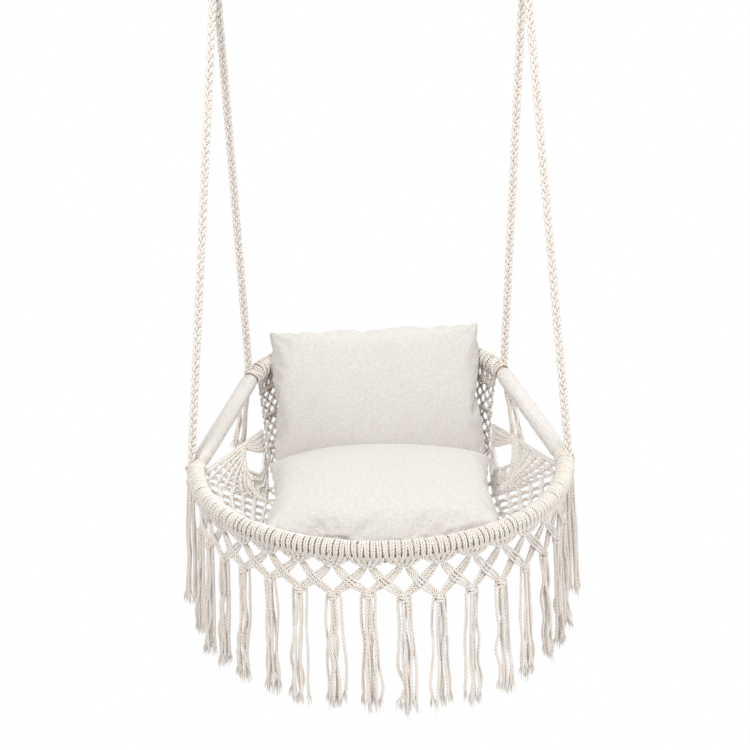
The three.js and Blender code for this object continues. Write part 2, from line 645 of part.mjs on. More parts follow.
// Cushions: pinched at the edges, full in the middle, with ears at the corners; the seat's front edge
// bows out and narrows to follow the rim
function cushion(width, depth, thickness, frontBow = -CUSHION_WAIST_SHARE, frontTaper = 0) {
  const pad = new THREE.BoxGeometry(1, 1, 1, CUSHION_CELLS, CUSHION_CELLS, 1);
  const place = pad.attributes.position;
  const roll = (distance) => Math.sin((Math.PI / 2) * Math.min(1, distance / CUSHION_ROLL));
  for (let i = 0; i < place.count; i++) {
    const x = place.getX(i);
    const y = place.getY(i);
    const full = roll((1 / 2 - Math.abs(x)) * width) * roll((1 / 2 - Math.abs(y)) * depth);
    const height = CUSHION_EDGE + (thickness - CUSHION_EDGE) * full;
    const forward = Math.max(0, -2 * y);
    const waistX = 1 - CUSHION_WAIST_SHARE * (1 - 4 * y * y) - frontTaper * forward * forward;
    const waistY = 1 + (y < 0 ? frontBow : -CUSHION_WAIST_SHARE) * (1 - 4 * x * x);
    place.setXYZ(i, x * width * waistX, y * depth * waistY, place.getZ(i) * height);
  }
  return pad;
}

// Lowers a cushion until it rests on the seat net, or hangs its own gap above it
function restOnNet(pad, gap) {
  const place = pad.attributes.position;
  let lift = -Infinity;
  for (let k = 0; k < place.count; k++) {
    const x = place.getX(k);
    const y = place.getY(k);
    const across = Math.max(-1, Math.min(1, x / netRearHalfWidth));
    const front = seatSurface((across + 1) / 2, 0);
    const rear = rearEdge(across);
    const run = (y - front.y) / (rear.y - front.y);
    if (run < 0 || run > 1) continue;
    const floor = seatSurface((across + 1) / 2, run).z;
    lift = Math.max(lift, floor + WEB_THICKNESS / 2 + gap - place.getZ(k));
  }
  return pad.translate(0, 0, lift);
}

// The back cushion leans where its side edges pass in front of the back wrap
function frameAtSide(x) {
  let [near, far] = [armStart, halfLength];
  for (let i = 0; i < HALVINGS; i++) {
    const middle = (near + far) / 2;
    if (framePoint(middle).x > x) near = middle;
    else far = middle;
  }
  return framePoint(near);
}
const backSide = frameAtSide((BACK_CUSHION_WIDTH / 2) * (1 - CUSHION_WAIST_SHARE));
const backMiddleDrop = NET_REAR_DROP - (BACK_CUSHION_HEIGHT / 2) * Math.cos(BACK_CUSHION_LEAN);
const backY = backSide.y - WRAP_RADIUS - BACK_CUSHION_WRAP_GAP
  - (backSide.z + backMiddleDrop) * Math.tan(BACK_CUSHION_LEAN);
const backPad = cushion(BACK_CUSHION_WIDTH, BACK_CUSHION_HEIGHT, BACK_CUSHION_THICKNESS)
  .rotateX(Math.PI / 2 - BACK_CUSHION_LEAN).translate(0, backY, -NET_REAR_DROP);

// The seat cushion fills the round between the rim and the back cushion
const cornerX = (SEAT_CUSHION_WIDTH / 2) * (1 - SEAT_FRONT_TAPER_SHARE);
const rimInside = FRAME_RADIUS - WRAP_RADIUS - SEAT_CUSHION_RIM_GAP;
const seatFrontY = FRAME_CENTRE_Y - Math.sqrt(rimInside ** 2 - cornerX ** 2) * Math.cos(FRAME_TILT);
backPad.computeBoundingBox();
const seatDepth = backPad.boundingBox.min.y - CUSHIONS_GAP - seatFrontY;
const seatPad = cushion(
  SEAT_CUSHION_WIDTH, seatDepth, SEAT_CUSHION_THICKNESS, SEAT_FRONT_BOW_SHARE, SEAT_FRONT_TAPER_SHARE,
).rotateX(SEAT_CUSHION_PITCH).translate(0, seatFrontY + seatDepth / 2, -NET_REAR_DROP);
addPiece('seat_cushion', restOnNet(seatPad, SEAT_REST_GAP), COTTON_CLOTH);
addPiece('back_cushion', restOnNet(backPad, BACK_REST_GAP), COTTON_CLOTH);

export default chair;
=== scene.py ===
# Hanging macrame hammock chair, in metres, +Z up, the sitter facing -Y.
# Cotton cord and stuffed cotton cloth on a steel tube frame, hung from two rings. The file starts with the
# room and the camera, then follows the chair from its ropes down to the fringe, the web and the cushions.
import math

import bmesh
import bpy
import numpy as np
from mathutils import Matrix, Quaternion, Vector


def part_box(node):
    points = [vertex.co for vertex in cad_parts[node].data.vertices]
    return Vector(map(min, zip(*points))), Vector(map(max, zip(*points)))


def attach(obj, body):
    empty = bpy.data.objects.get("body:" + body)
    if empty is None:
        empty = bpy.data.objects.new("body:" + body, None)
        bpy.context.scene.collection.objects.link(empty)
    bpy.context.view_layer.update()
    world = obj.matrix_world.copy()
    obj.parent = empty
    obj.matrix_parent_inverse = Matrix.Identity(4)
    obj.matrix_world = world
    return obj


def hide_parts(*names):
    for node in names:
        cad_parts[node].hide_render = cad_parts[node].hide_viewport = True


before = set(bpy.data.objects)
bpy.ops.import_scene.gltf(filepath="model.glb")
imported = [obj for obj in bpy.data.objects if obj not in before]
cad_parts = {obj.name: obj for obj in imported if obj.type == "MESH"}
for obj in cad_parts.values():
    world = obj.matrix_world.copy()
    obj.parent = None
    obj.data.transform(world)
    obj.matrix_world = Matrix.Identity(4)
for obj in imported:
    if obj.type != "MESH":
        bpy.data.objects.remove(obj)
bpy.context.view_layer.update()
scene = bpy.context.scene

# Room
# A floor well below the tassels and a sky, both plain white to the camera only, and soft lamps above, in
# front and behind. The camera looks slightly down on the seat from in front.
FLOOR_DROP = 1.95
FLOOR_HALF_SIZE = 40
CAMERA_AIM = Vector((-0.006, 0.065, -0.821))
CAMERA_DISTANCE = 3.6
CAMERA_RISE = math.radians(16)
CAMERA_TURN = math.radians(0.8)
CAMERA_ROLL = math.radians(1.25)
CAMERA_LENS = 83.9
SKY_STRENGTH = 0.60
LAMPS = {
    "key": ((-1.4, -2.4, 2.2), 1.0, 80),
    "fill": ((2.4, -2.2, 0.2), 2.2, 38),
    "top": ((0.2, 0.5, 2.3), 1.8, 34),
    "rear": ((0.6, 3.0, 0.9), 2.4, 20),
}


def new_piece(name, shape, material):
    """A mesh object at the origin from a finished bmesh."""
    mesh = bpy.data.meshes.new(name)
    shape.to_mesh(mesh)
    shape.free()
    mesh.materials.append(material)
    for face in mesh.polygons:
        face.use_smooth = True
    piece = bpy.data.objects.new(name, mesh)
    scene.collection.objects.link(piece)
    return piece


def new_material(name, colour, roughness):
    """A material with its node tree, links and main shader at hand."""
    material = bpy.data.materials.new(name)
    material.use_nodes = True
    shader = material.node_tree.nodes["Principled BSDF"]
    shader.inputs["Base Color"].default_value = (*colour, 1)
    shader.inputs["Roughness"].default_value = roughness
    return material, material.node_tree.nodes, material.node_tree.links, shader


floor_paint, floor_nodes, floor_links, floor_shader = new_material("floor_paint", (0.93, 0.93, 0.93), 0.9)
floor_seen = floor_nodes.new("ShaderNodeEmission")
floor_path = floor_nodes.new("ShaderNodeLightPath")
floor_mix = floor_nodes.new("ShaderNodeMixShader")
floor_links.new(floor_path.outputs["Is Camera Ray"], floor_mix.inputs[0])
floor_links.new(floor_shader.outputs[0], floor_mix.inputs[1])
floor_links.new(floor_seen.outputs[0], floor_mix.inputs[2])
floor_links.new(floor_mix.outputs[0], floor_nodes["Material Output"].inputs["Surface"])
floor_shape = bmesh.new()
bmesh.ops.create_grid(floor_shape, x_segments=1, y_segments=1, size=FLOOR_HALF_SIZE)
bmesh.ops.translate(floor_shape, vec=(0, 0, -FLOOR_DROP), verts=floor_shape.verts)
new_piece("floor", floor_shape, floor_paint)

scene.view_settings.view_transform = "Standard"
scene.world = bpy.data.worlds.new("white_sky")
scene.world.use_nodes = True
sky_nodes = scene.world.node_tree.nodes
sky_links = scene.world.node_tree.links
sky_glow = sky_nodes["Background"]
sky_glow.inputs["Color"].default_value = (1, 0.985, 0.965, 1)
sky_glow.inputs["Strength"].default_value = SKY_STRENGTH
sky_seen = sky_nodes.new("ShaderNodeBackground")
sky_seen.inputs["Color"].default_value = (1, 1, 1, 1)
sky_path = sky_nodes.new("ShaderNodeLightPath")
sky_mix = sky_nodes.new("ShaderNodeMixShader")
sky_links.new(sky_path.outputs["Is Camera Ray"], sky_mix.inputs[0])
sky_links.new(sky_glow.outputs[0], sky_mix.inputs[1])
sky_links.new(sky_seen.outputs[0], sky_mix.inputs[2])
sky_links.new(sky_mix.outputs[0], sky_nodes["World Output"].inputs["Surface"])

for name, (place, size, power) in LAMPS.items():
    lamp_data = bpy.data.lights.new(name, "AREA")
    lamp_data.shape = "DISK"
    lamp_data.size = size
    lamp_data.energy = power
    lamp = bpy.data.objects.new(name, lamp_data)
    lamp.location = place
    lamp.rotation_euler = (Vector(place) - CAMERA_AIM).to_track_quat("Z", "Y").to_euler()
    scene.collection.objects.link(lamp)

camera_back = Vector((
    -math.sin(CAMERA_TURN) * math.cos(CAMERA_RISE),
    -math.cos(CAMERA_TURN) * math.cos(CAMERA_RISE),
    math.sin(CAMERA_RISE),
))
camera_data = bpy.data.cameras.new("camera")
camera_data.lens = CAMERA_LENS
camera = bpy.data.objects.new("camera", camera_data)
camera.location = CAMERA_AIM + CAMERA_DISTANCE * camera_back
camera_turn = camera_back.to_track_quat("Z", "Y") @ Quaternion((0, 0, 1), -CAMERA_ROLL)
camera.rotation_euler = camera_turn.to_euler()
scene.collection.objects.link(camera)
scene.camera = camera

# Ropes
# Four plaits of three laid cotton cords each, undyed. A pair runs from each eye, the front one to the end
# of the rim and the rear one to the back corner, and the chair's weight pulls them straight.
ROPE_HALF_SPREAD = 0.0050
ROPE_ROUTES = {
    "rope_front": ((0.2990, -0.0075, -0.0500), (0.3861, -0.0074, -0.9804)),
    "rope_back": ((0.2905, 0.0080, -0.0500), (0.2741, 0.2229, -0.8501)),
}
PLAIT_REPEAT = 0.050
PLAIT_CORD_RADIUS = 0.0040
PLAIT_CORD_LAY = 0.024
PLAIT_HALF_DEPTH = 0.0032
PLAIT_STEPS = 12
CORD_RADIUS = 0.0029
CORD_LAY = 0.0175
CORD_STATION = 0.0021
LONG_STATION = 0.0026
LOBE_DEPTH = 0.46
ROPE_LOBE_DEPTH = 0.2
# How much of the painted groove shade the plaited ropes take.
ROPE_GROOVE_SHADE_SHARE = 0.9
CORD_CREAM = (0.95, 0.895, 0.83)
CORD_PALE = (1.0, 0.98, 0.95)
# Painted shade: the warm brown that the grooves between the strands are darkened towards.
CORD_GROOVE_SHADE = (0.55, 0.43, 0.33)
chance = np.random.default_rng(5)
SIDES = {"right": 1, "left": -1}


def laid_section(name, sides, lobe_depth=LOBE_DEPTH):
    """The three-lobed outline of a laid cord, one unit in radius, for curves to sweep."""
    outline = bpy.data.curves.new(name, "CURVE")
    outline.dimensions = "2D"
    spline = outline.splines.new("POLY")
    spline.points.add(sides - 1)
    spline.use_cyclic_u = True
    for i, point in enumerate(spline.points):
        angle = math.tau * i / sides
        reach = 1 - lobe_depth * (1 - math.cos(3 * angle)) / 2
        point.co = (reach * math.cos(angle), reach * math.sin(angle), 0, 1)
    section = bpy.data.objects.new(name, outline)
    scene.collection.objects.link(section)
    return section


FINE_SECTION = laid_section("fine_section", 12)
PLAIN_SECTION = laid_section("plain_section", 6)
ROPE_SECTION = laid_section("rope_section", 12, ROPE_LOBE_DEPTH)


def smooth_path(guides, station, closed=False):
    """Evenly spaced points on a smooth curve through the guides, and how far along each one lies."""
    guides = np.array(guides, float)
    if closed:
        ends = np.vstack([guides[-1:], guides, guides[:2]])
    else:
        ends = np.vstack([2 * guides[:1] - guides[1:2], guides, 2 * guides[-1:] - guides[-2:-1]])
    share = np.linspace(0, 1, 10, endpoint=False)[:, None]
    fine = [
        b + share * (c - a) / 2 + share**2 * (2 * a - 5 * b + 4 * c - d) / 2
        + share**3 * (3 * b - a - 3 * c + d) / 2
        for a, b, c, d in zip(ends, ends[1:], ends[2:], ends[3:])
    ]
    fine = np.vstack([*fine, guides[:1] if closed else guides[-1:]])
    reached = np.concatenate([[0], np.cumsum(np.linalg.norm(np.diff(fine, axis=0), axis=1))])
    count = max(3, round(reached[-1] / station))
    places = np.linspace(0, reached[-1], count + 1)
    if closed:
        places = places[:-1]
    return np.column_stack([np.interp(places, reached, fine[:, k]) for k in range(3)]), places


def new_cords(section=FINE_SECTION):
    """An empty bundle of cords that sweep one section."""
    cords = bpy.data.curves.new("cords", "CURVE")
    cords.dimensions = "3D"
    cords.bevel_mode = "OBJECT"
    cords.bevel_object = section
    cords.use_fill_caps = True
    return cords


def lay_cord(cords, guides, radius=CORD_RADIUS, lay=CORD_LAY, station=CORD_STATION, closed=False,
             swell=None):
    """Adds one twisted cord through the guides; swell scales its radius from start to end."""
    path, reached = smooth_path(guides, station, closed)
    turn = math.tau / lay
    if closed:
        around = reached[-1] * len(reached) / (len(reached) - 1)
        turn = math.tau * max(1, round(3 * around / lay)) / (3 * around)
    widths = np.ones(len(path)) if swell is None else np.interp(
        reached / reached[-1], np.linspace(0, 1, len(swell)), swell)
    spline = cords.splines.new("POLY")
    spline.points.add(len(path) - 1)
    spline.use_cyclic_u = closed
    spline.points.foreach_set("co", np.column_stack([path, np.ones(len(path))]).ravel())
    spline.points.foreach_set("tilt", reached * turn + chance.uniform(0, math.tau))
    spline.points.foreach_set("radius", radius * widths)


def tie_off(cords, name, material, groove_shade_share=1):
    """Turns a bundle of cords into one mesh piece with a painted-shade amount at each point, highest deep
    between the strands, for the cord material to darken.
    """
    holder = bpy.data.objects.new("holder", cords)
    scene.collection.objects.link(holder)
    bpy.context.view_layer.update()
    swept = holder.evaluated_get(bpy.context.evaluated_depsgraph_get())
    shape = bmesh.new()
    shape.from_mesh(bpy.data.meshes.new_from_object(swept))
    bpy.data.objects.remove(holder)
    piece = new_piece(name, shape, material)
    sides = len(cords.bevel_object.data.splines[0].points)
    around = math.tau * np.arange(len(piece.data.vertices)) / sides
    # Painted shade: 0 on the crown of each strand, 1 deep in the grooves between strands, times the share.
    groove_shade = piece.data.attributes.new("groove_shade", "FLOAT", "POINT")
    groove_shade.data.foreach_set("value", groove_shade_share * (1 - np.cos(3 * around)) / 2)
    return piece


def cotton_cord_finish():
    """Undyed laid cotton: soft, matt, mottled, with fine fibres that catch the light, and painted shade that
    darkens the grooves between its strands towards a warm brown.
    """
    material, nodes, links, shader = new_material("cotton_cord", CORD_PALE, 0.95)
    shader.inputs["Sheen Weight"].default_value = 0.7
    shader.inputs["Sheen Roughness"].default_value = 0.6
    shader.inputs["Specular IOR Level"].default_value = 0.2
    place = nodes.new("ShaderNodeTexCoord")
    mottle = nodes.new("ShaderNodeTexNoise")
    mottle.inputs["Scale"].default_value = 170
    mottle.inputs["Detail"].default_value = 6
    tones = nodes.new("ShaderNodeValToRGB")
    tones.color_ramp.elements[0].position = 0.32
    tones.color_ramp.elements[0].color = (*CORD_CREAM, 1)
    tones.color_ramp.elements[1].position = 0.62
    tones.color_ramp.elements[1].color = (*CORD_PALE, 1)
    fibres = nodes.new("ShaderNodeTexNoise")
    fibres.inputs["Scale"].default_value = 1600
    fibres.inputs["Detail"].default_value = 3
    relief = nodes.new("ShaderNodeBump")
    relief.inputs["Strength"].default_value = 0.5
    relief.inputs["Distance"].default_value = 0.0006
    links.new(place.outputs["Object"], mottle.inputs["Vector"])
    links.new(place.outputs["Object"], fibres.inputs["Vector"])
    links.new(mottle.outputs["Fac"], tones.inputs["Fac"])
    # Painted shade: the base colour is darkened towards the warm groove colour deep between the strands.
    groove_shade = nodes.new("ShaderNodeAttribute")
    groove_shade.attribute_name = "groove_shade"
    depth = nodes.new("ShaderNodeMath")
    depth.operation = "POWER"
    depth.inputs[1].default_value = 1.7
    shade = nodes.new("ShaderNodeMix")
    shade.data_type = "RGBA"
    shade.inputs["B"].default_value = (*CORD_GROOVE_SHADE, 1)
    links.new(groove_shade.outputs["Fac"], depth.inputs[0])
    links.new(depth.outputs["Value"], shade.inputs["Factor"])
    links.new(tones.outputs["Color"], shade.inputs["A"])
    links.new(shade.outputs["Result"], shader.inputs["Base Color"])
    links.new(fibres.outputs["Fac"], relief.inputs["Height"])
    links.new(relief.outputs["Normal"], shader.inputs["Normal"])
    return material


COTTON_CORD = cotton_cord_finish()


def sided(point, side):
    """A point on the right-hand half, or its mirror image on the left."""
    return (SIDES[side] * point[0], point[1], point[2])


def plait(cords, top, foot):
    """Three cords that cross over each other in turn from the top to the foot."""
    top, foot = Vector(top), Vector(foot)
    down = (foot - top).normalized()
    across = down.cross(Vector((0, 1, 0))).normalized()
    out = across.cross(down)
    length = (foot - top).length
    steps = round(PLAIT_STEPS * length / PLAIT_REPEAT)
    for strand in range(3):
        guides = []
        for k in range(steps + 1):
            angle = math.tau * (k / PLAIT_STEPS + strand / 3)
            guides.append(top + down * (length * k / steps) + across * (ROPE_HALF_SPREAD * math.sin(angle))
                          + out * (PLAIT_HALF_DEPTH * math.sin(2 * angle)))
        lay_cord(cords, guides, PLAIT_CORD_RADIUS, PLAIT_CORD_LAY, LONG_STATION)


ropes = {}
for side in SIDES:
    for node, (top, foot) in ROPE_ROUTES.items():
        cords = new_cords(ROPE_SECTION)
        plait(cords, sided(top, side), sided(foot, side))
        ropes[node, side] = tie_off(cords, f"{node}_plait_{side}", COTTON_CORD, ROPE_GROOVE_SHADE_SHARE)
        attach(ropes[node, side], "chair")
        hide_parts(f"{node}_{side}")

# Hang rings
# Two welded steel rings that the ceiling hooks or spreader hold. Round bar, zinc plated, with a soft
# brushed shine.
RING_RADIUS = 0.025
RING_BAR_RADIUS = 0.005
HANG_HALF_SPAN = 0.2895
ring_steel, steel_nodes, steel_links, steel_shader = new_material("ring_steel", (0.62, 0.63, 0.64), 0.32)
steel_shader.inputs["Metallic"].default_value = 1
steel_place = steel_nodes.new("ShaderNodeTexCoord")
steel_grain = steel_nodes.new("ShaderNodeTexNoise")
steel_grain.inputs["Scale"].default_value = 420
steel_tones = steel_nodes.new("ShaderNodeMapRange")
steel_tones.inputs["To Min"].default_value = 0.22
steel_tones.inputs["To Max"].default_value = 0.45
steel_links.new(steel_place.outputs["Object"], steel_grain.inputs["Vector"])
steel_links.new(steel_grain.outputs["Fac"], steel_tones.inputs["Value"])
steel_links.new(steel_tones.outputs["Result"], steel_shader.inputs["Roughness"])
for side in SIDES:
    ring = bmesh.new()
    bmesh.ops.create_circle(ring, segments=20, radius=RING_BAR_RADIUS)
    bmesh.ops.translate(ring, vec=(RING_RADIUS, 0, 0), verts=ring.verts)
    bmesh.ops.rotate(ring, matrix=Matrix.Rotation(math.pi / 2, 3, "X"), verts=ring.verts)
    bmesh.ops.spin(ring, geom=ring.verts[:] + ring.edges[:], cent=(0, 0, 0), axis=(0, 0, 1),
                   angle=math.tau, steps=64, use_merge=True)
    bmesh.ops.rotate(ring, matrix=Matrix.Rotation(math.pi / 2, 3, "X"), verts=ring.verts)
    bmesh.ops.translate(ring, vec=sided((HANG_HALF_SPAN, 0, RING_RADIUS), side), verts=ring.verts)
    bmesh.ops.recalc_face_normals(ring, faces=ring.faces)
    round_ring = new_piece(f"round_ring_{side}", ring, ring_steel)
    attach(round_ring, "hangers")
    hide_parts(f"hang_ring_{side}")

# Rope eyes
# Each pair of ropes meets in a cord eye round its ring, bound by a tight whipping of thinner cord over
# both rope ends, so nothing is knotted above the plaits.
EYE_RADIUS = 0.0105
EYE_CORD_RADIUS = 0.0046
WHIPPING_TOP = 0.014
WHIPPING_BOTTOM = 0.050
WHIPPING_HALF_WIDTH = 0.0100
WHIPPING_LEAN = 0.0042
WHIPPING_HALF_DEPTH = 0.0145
WHIPPING_CORD_RADIUS = 0.0024
FOLD_RADIUS = 0.006
FOLD_TOP_DROP = 0.009
FOLD_END_REACH = 0.001


def lay_ring(cords, centre, wide, high, width, height, radius=CORD_RADIUS, station=CORD_STATION, steps=12):
    """One closed turn of cord round an ellipse in the plane of two directions."""
    centre, wide, high = (np.array(v, float) for v in (centre, wide, high))
    angles = np.arange(steps) * math.tau / steps
    guides = centre + np.outer(np.cos(angles) * width, wide) + np.outer(np.sin(angles) * height, high)
    lay_cord(cords, guides, radius, station=station, closed=True)


for side in SIDES:
    cords = new_cords()
    eye_centre = Vector(sided((HANG_HALF_SPAN, 0, 0), side))
    lay_ring(cords, eye_centre, (0, 1, 0), (0, 0, 1), EYE_RADIUS, EYE_RADIUS, EYE_CORD_RADIUS, LONG_STATION)
    turns = round((WHIPPING_BOTTOM - WHIPPING_TOP) / (2 * WHIPPING_CORD_RADIUS))
    for k in range(turns):
        drop = WHIPPING_TOP + (2 * k + 1) * WHIPPING_CORD_RADIUS
        lean = sided((WHIPPING_LEAN * drop / WHIPPING_BOTTOM, 0, 0), side)
        lay_ring(cords, eye_centre + Vector(lean) - Vector((0, 0, drop)), (1, 0, 0.04), (0, 1, 0.05),
                 WHIPPING_HALF_WIDTH, WHIPPING_HALF_DEPTH, WHIPPING_CORD_RADIUS, LONG_STATION)
    for fold in (-1, 1):
        y = fold * WHIPPING_HALF_DEPTH / 2
        lay_cord(cords, [eye_centre + Vector((0, y * 0.9, -FOLD_TOP_DROP)),
                         eye_centre + Vector((0, y, -WHIPPING_BOTTOM / 2)),
                         eye_centre + Vector((0, y, -WHIPPING_BOTTOM - FOLD_END_REACH))], FOLD_RADIUS)
    eye = tie_off(cords, f"bound_eye_{side}", COTTON_CORD)
    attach(eye, "chair")
    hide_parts(f"rope_eye_{side}")

# Tube frame
# One bent steel tube: a half-round front that dips forward, straight arms and a low raised back. Its paint
# is a dull warm brown, partly painted shade: its colour is made dark so that where it shows between the cord
# turns it stands in for the shade deep in those gaps. It is hidden under cord and cloth nearly everywhere.
FRAME_RADIUS = 0.374
FRAME_CENTRE_Y = -0.010
FRAME_CENTRE_DROP = 0.991
FRAME_TILT = math.radians(6)
FRONT_HALF_ANGLE = math.radians(84)
ARM_FRONT = np.array((0.374, 0.005, -0.985))
ARM_BACK = np.array((0.269, 0.215, -0.864))
BACK_PEAK = np.array((0, 0.355, -0.824))
BACK_CORNER_REACH = 0.050
BACK_PEAK_REACH = 0.150
HITCH_WIDTH = 0.026
SEAT_GAP = 0.0003
FRONT_STEPS, BEND_STEPS, ARM_STEPS, BACK_STEPS = 300, 30, 60, 150


def bezier(corners, steps):
    """Points on the curve that a row of corners pulls."""
    points = [np.array(corners, float)] * steps
    shares = np.linspace(0, 1, steps)
    while len(points[0]) > 1:
        points = [p[:-1] * (1 - s) + p[1:] * s for p, s in zip(points, shares)]
    return np.vstack(points)


front_angles = np.linspace(0, FRONT_HALF_ANGLE, FRONT_STEPS)
front_line = np.column_stack([
    FRAME_RADIUS * np.sin(front_angles),
    FRAME_CENTRE_Y - FRAME_RADIUS * np.cos(front_angles) * math.cos(FRAME_TILT),
    -FRAME_CENTRE_DROP - FRAME_RADIUS * np.cos(front_angles) * math.sin(FRAME_TILT),
])
arm_line = (ARM_BACK - ARM_FRONT) / np.linalg.norm(ARM_BACK - ARM_FRONT)
bend_reach = np.linalg.norm(ARM_FRONT - front_line[-1]) / 2
front_heading = (front_line[-1] - front_line[-2]) / np.linalg.norm(front_line[-1] - front_line[-2])
bend_corner = (front_line[-1] + bend_reach * front_heading + ARM_FRONT - bend_reach * arm_line) / 2
half_frame = np.vstack([
    front_line,
    bezier([front_line[-1], bend_corner, ARM_FRONT], BEND_STEPS)[1:],
    bezier([ARM_FRONT, ARM_BACK], ARM_STEPS)[1:],
    bezier([ARM_BACK, ARM_BACK + BACK_CORNER_REACH * arm_line,
            BACK_PEAK + np.array((BACK_PEAK_REACH, 0, 0)), BACK_PEAK], BACK_STEPS)[1:],
])
frame_reach = np.concatenate([[0], np.cumsum(np.linalg.norm(np.diff(half_frame, axis=0), axis=1))])
HALF_LENGTH = frame_reach[-1]
ARM_START = frame_reach[FRONT_STEPS + BEND_STEPS - 2]
ARM_END = frame_reach[FRONT_STEPS + BEND_STEPS + ARM_STEPS - 3]
WRAP_END = ARM_START - HITCH_WIDTH - SEAT_GAP


def frame_point(distance):
    """A place on the tube's centre line, measured from the middle of the front, positive to the right."""
    if distance > HALF_LENGTH:
        distance -= 2 * HALF_LENGTH
    point = np.array([np.interp(abs(distance), frame_reach, half_frame[:, k]) for k in range(3)])
    if distance < 0:
        point[0] = -point[0]
    return point


def frame_axes(distance):
    """The tube's direction there, the level direction outwards, and the one square to both."""
    along = frame_point(distance + 0.003) - frame_point(distance - 0.003)
    along /= np.linalg.norm(along)
    out = np.array((along[1], -along[0], 0))
    out /= np.linalg.norm(out)
    return along, out, np.cross(out, along)


# Painted shade in part: the tube's dark warm brown is what shows through the gaps between the cord turns as
# their shade.
frame_paint_and_gap_shade, paint_nodes, paint_links, paint_shader = new_material("frame_paint_and_gap_shade", (0.70, 0.57, 0.45), 0.6)
paint_place = paint_nodes.new("ShaderNodeTexCoord")
paint_peel = paint_nodes.new("ShaderNodeTexNoise")
paint_peel.inputs["Scale"].default_value = 700
paint_relief = paint_nodes.new("ShaderNodeBump")
paint_relief.inputs["Strength"].default_value = 0.15
paint_relief.inputs["Distance"].default_value = 0.0003
paint_links.new(paint_place.outputs["Object"], paint_peel.inputs["Vector"])
paint_links.new(paint_peel.outputs["Fac"], paint_relief.inputs["Height"])
paint_links.new(paint_relief.outputs["Normal"], paint_shader.inputs["Normal"])
for name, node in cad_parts.items():
    if name.startswith("frame_"):
        node.data.materials.clear()
        node.data.materials.append(frame_paint_and_gap_shade)

# Rim and back wraps
# Doubled cord hitched round the tube, pair beside pair, so the rim is a thick soft roll. The cords lie side
# by side over the top, draw together below and lean towards the knot that their ends go into.
REPEATS = 16
TURNS_PER_REPEAT = 6
RIM_TURNS = 103
WRAP_RING_RADIUS = 0.0156
WRAP_CORD_RADIUS = 0.0030
WRAP_SQUEEZE = 0.0006
WRAP_CLOSING = 0.0003
WRAP_LEAN = 0.12
WRAP_PULL_SHARE = 0.12
WRAP_DROOP = 0.0035
WRAP_SIZE_SHARES = (0.95, 1.05)
WRAP_SLACKS = (-0.0003, 0.0006)
WRAP_STEPS = 14
WRAP_PITCH = 2 * WRAP_END / RIM_TURNS
BACK_START = ARM_END + HITCH_WIDTH + SEAT_GAP


def wrap_turn(cords, distance, radius, pull, lean, ring_radius, droop=0, squeeze=0):
    """A turn round the tube; pull, squeeze and droop draw its underside along the tube and down."""
    along, out, up = frame_axes(distance)
    centre = frame_point(distance)
    guides = []
    for k in range(WRAP_STEPS):
        angle = math.tau * k / WRAP_STEPS
        below = max(0, -math.sin(angle)) ** 2
        guides.append(centre + out * ring_radius * math.cos(angle)
                      + up * (ring_radius * math.sin(angle) - droop * below)
                      + along * (lean * ring_radius * math.sin(angle) + pull * below
                                 + squeeze * (1 - math.sin(angle))))
    lay_cord(cords, guides, radius, station=LONG_STATION, closed=True)


def wrap_row(name, node, start, end):
    """A row of doubled turns between two distances, leaning towards the knots below."""
    cords = new_cords()
    count = round((end - start) / WRAP_PITCH)
    pitch = (end - start) / count
    knot_run = TURNS_PER_REPEAT * pitch
    for k in range(count):
        distance = start + (k + 0.5) * pitch
        past_knot = (distance - (start + end) / 2) % knot_run - knot_run / 2
        lean = WRAP_LEAN * chance.uniform(-1, 1)
        size = chance.uniform(*WRAP_SIZE_SHARES)
        for pair in (-1, 1):
            place = distance + pair * (pitch / 4 - WRAP_CLOSING)
            ring_radius = WRAP_RING_RADIUS + chance.uniform(*WRAP_SLACKS)
            wrap_turn(cords, place, WRAP_CORD_RADIUS * size, -WRAP_PULL_SHARE * past_knot, lean,
                      ring_radius, WRAP_DROOP, -pair * WRAP_SQUEEZE)
    wrap = tie_off(cords, name, COTTON_CORD)
    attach(wrap, "chair")
    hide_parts(node)


wrap_row("rim_turns", "front_wrap", -WRAP_END, WRAP_END)
wrap_row("back_turns", "back_wrap", BACK_START, 2 * HALF_LENGTH - BACK_START)

# Rope hitches and loose rope ends
# Each rope is wound hard round the tube beside the sleeve, crossed over itself once, and its unplaited
# strands hang free below with frayed ends.
HITCH_RING_RADIUS = 0.0160
HITCH_CORD_RADIUS = 0.0033
HITCH_TURNS = 4
HITCH_PITCH = 2.05 * HITCH_CORD_RADIUS
CROSSING_RADIUS = 0.0195
CROSSING_LIFT = 0.0015
TAIL_LENGTH_FRONT = 0.275
TAIL_LENGTH_BACK = 0.150
TAIL_STRANDS = 6
TAIL_OUTSETS = {"front": 0.010, "back": 0.021}
TAIL_RADIUS = 1.15 * CORD_RADIUS
TAIL_HALF_SPREAD = 0.0065
TAIL_START_OUT = 0.006
TAIL_START_DROP = 0.017
TAIL_WAVE = 0.0011
BINDING_DROP = 0.026
BINDING_PITCH = 0.005
BINDING_RADIUS = 0.0085
STRAND_LAY = 0.021
FRAY_LENGTH = 0.024
FRAY_RADIUS = 0.0013
FRAY_SPREAD = 0.0055
FRAY_PLIES = 8


def fray(cords, end, heading):
    """The plies and fibres that open out where a strand is cut."""
    for _ in range(FRAY_PLIES):
        flare = Vector(chance.uniform(-1, 1, 3)) * FRAY_SPREAD
        tip = Vector(end) + Vector(heading) * (FRAY_LENGTH * chance.uniform(0.6, 1.1)) + flare
        middle = (Vector(end) + tip) / 2 + flare * 0.35
        lay_cord(cords, [Vector(end) - Vector(heading) * 0.004, middle, tip], FRAY_RADIUS, station=0.004,
                 lay=0.012, swell=[1.3, 1.25, 0.9, 0.3])


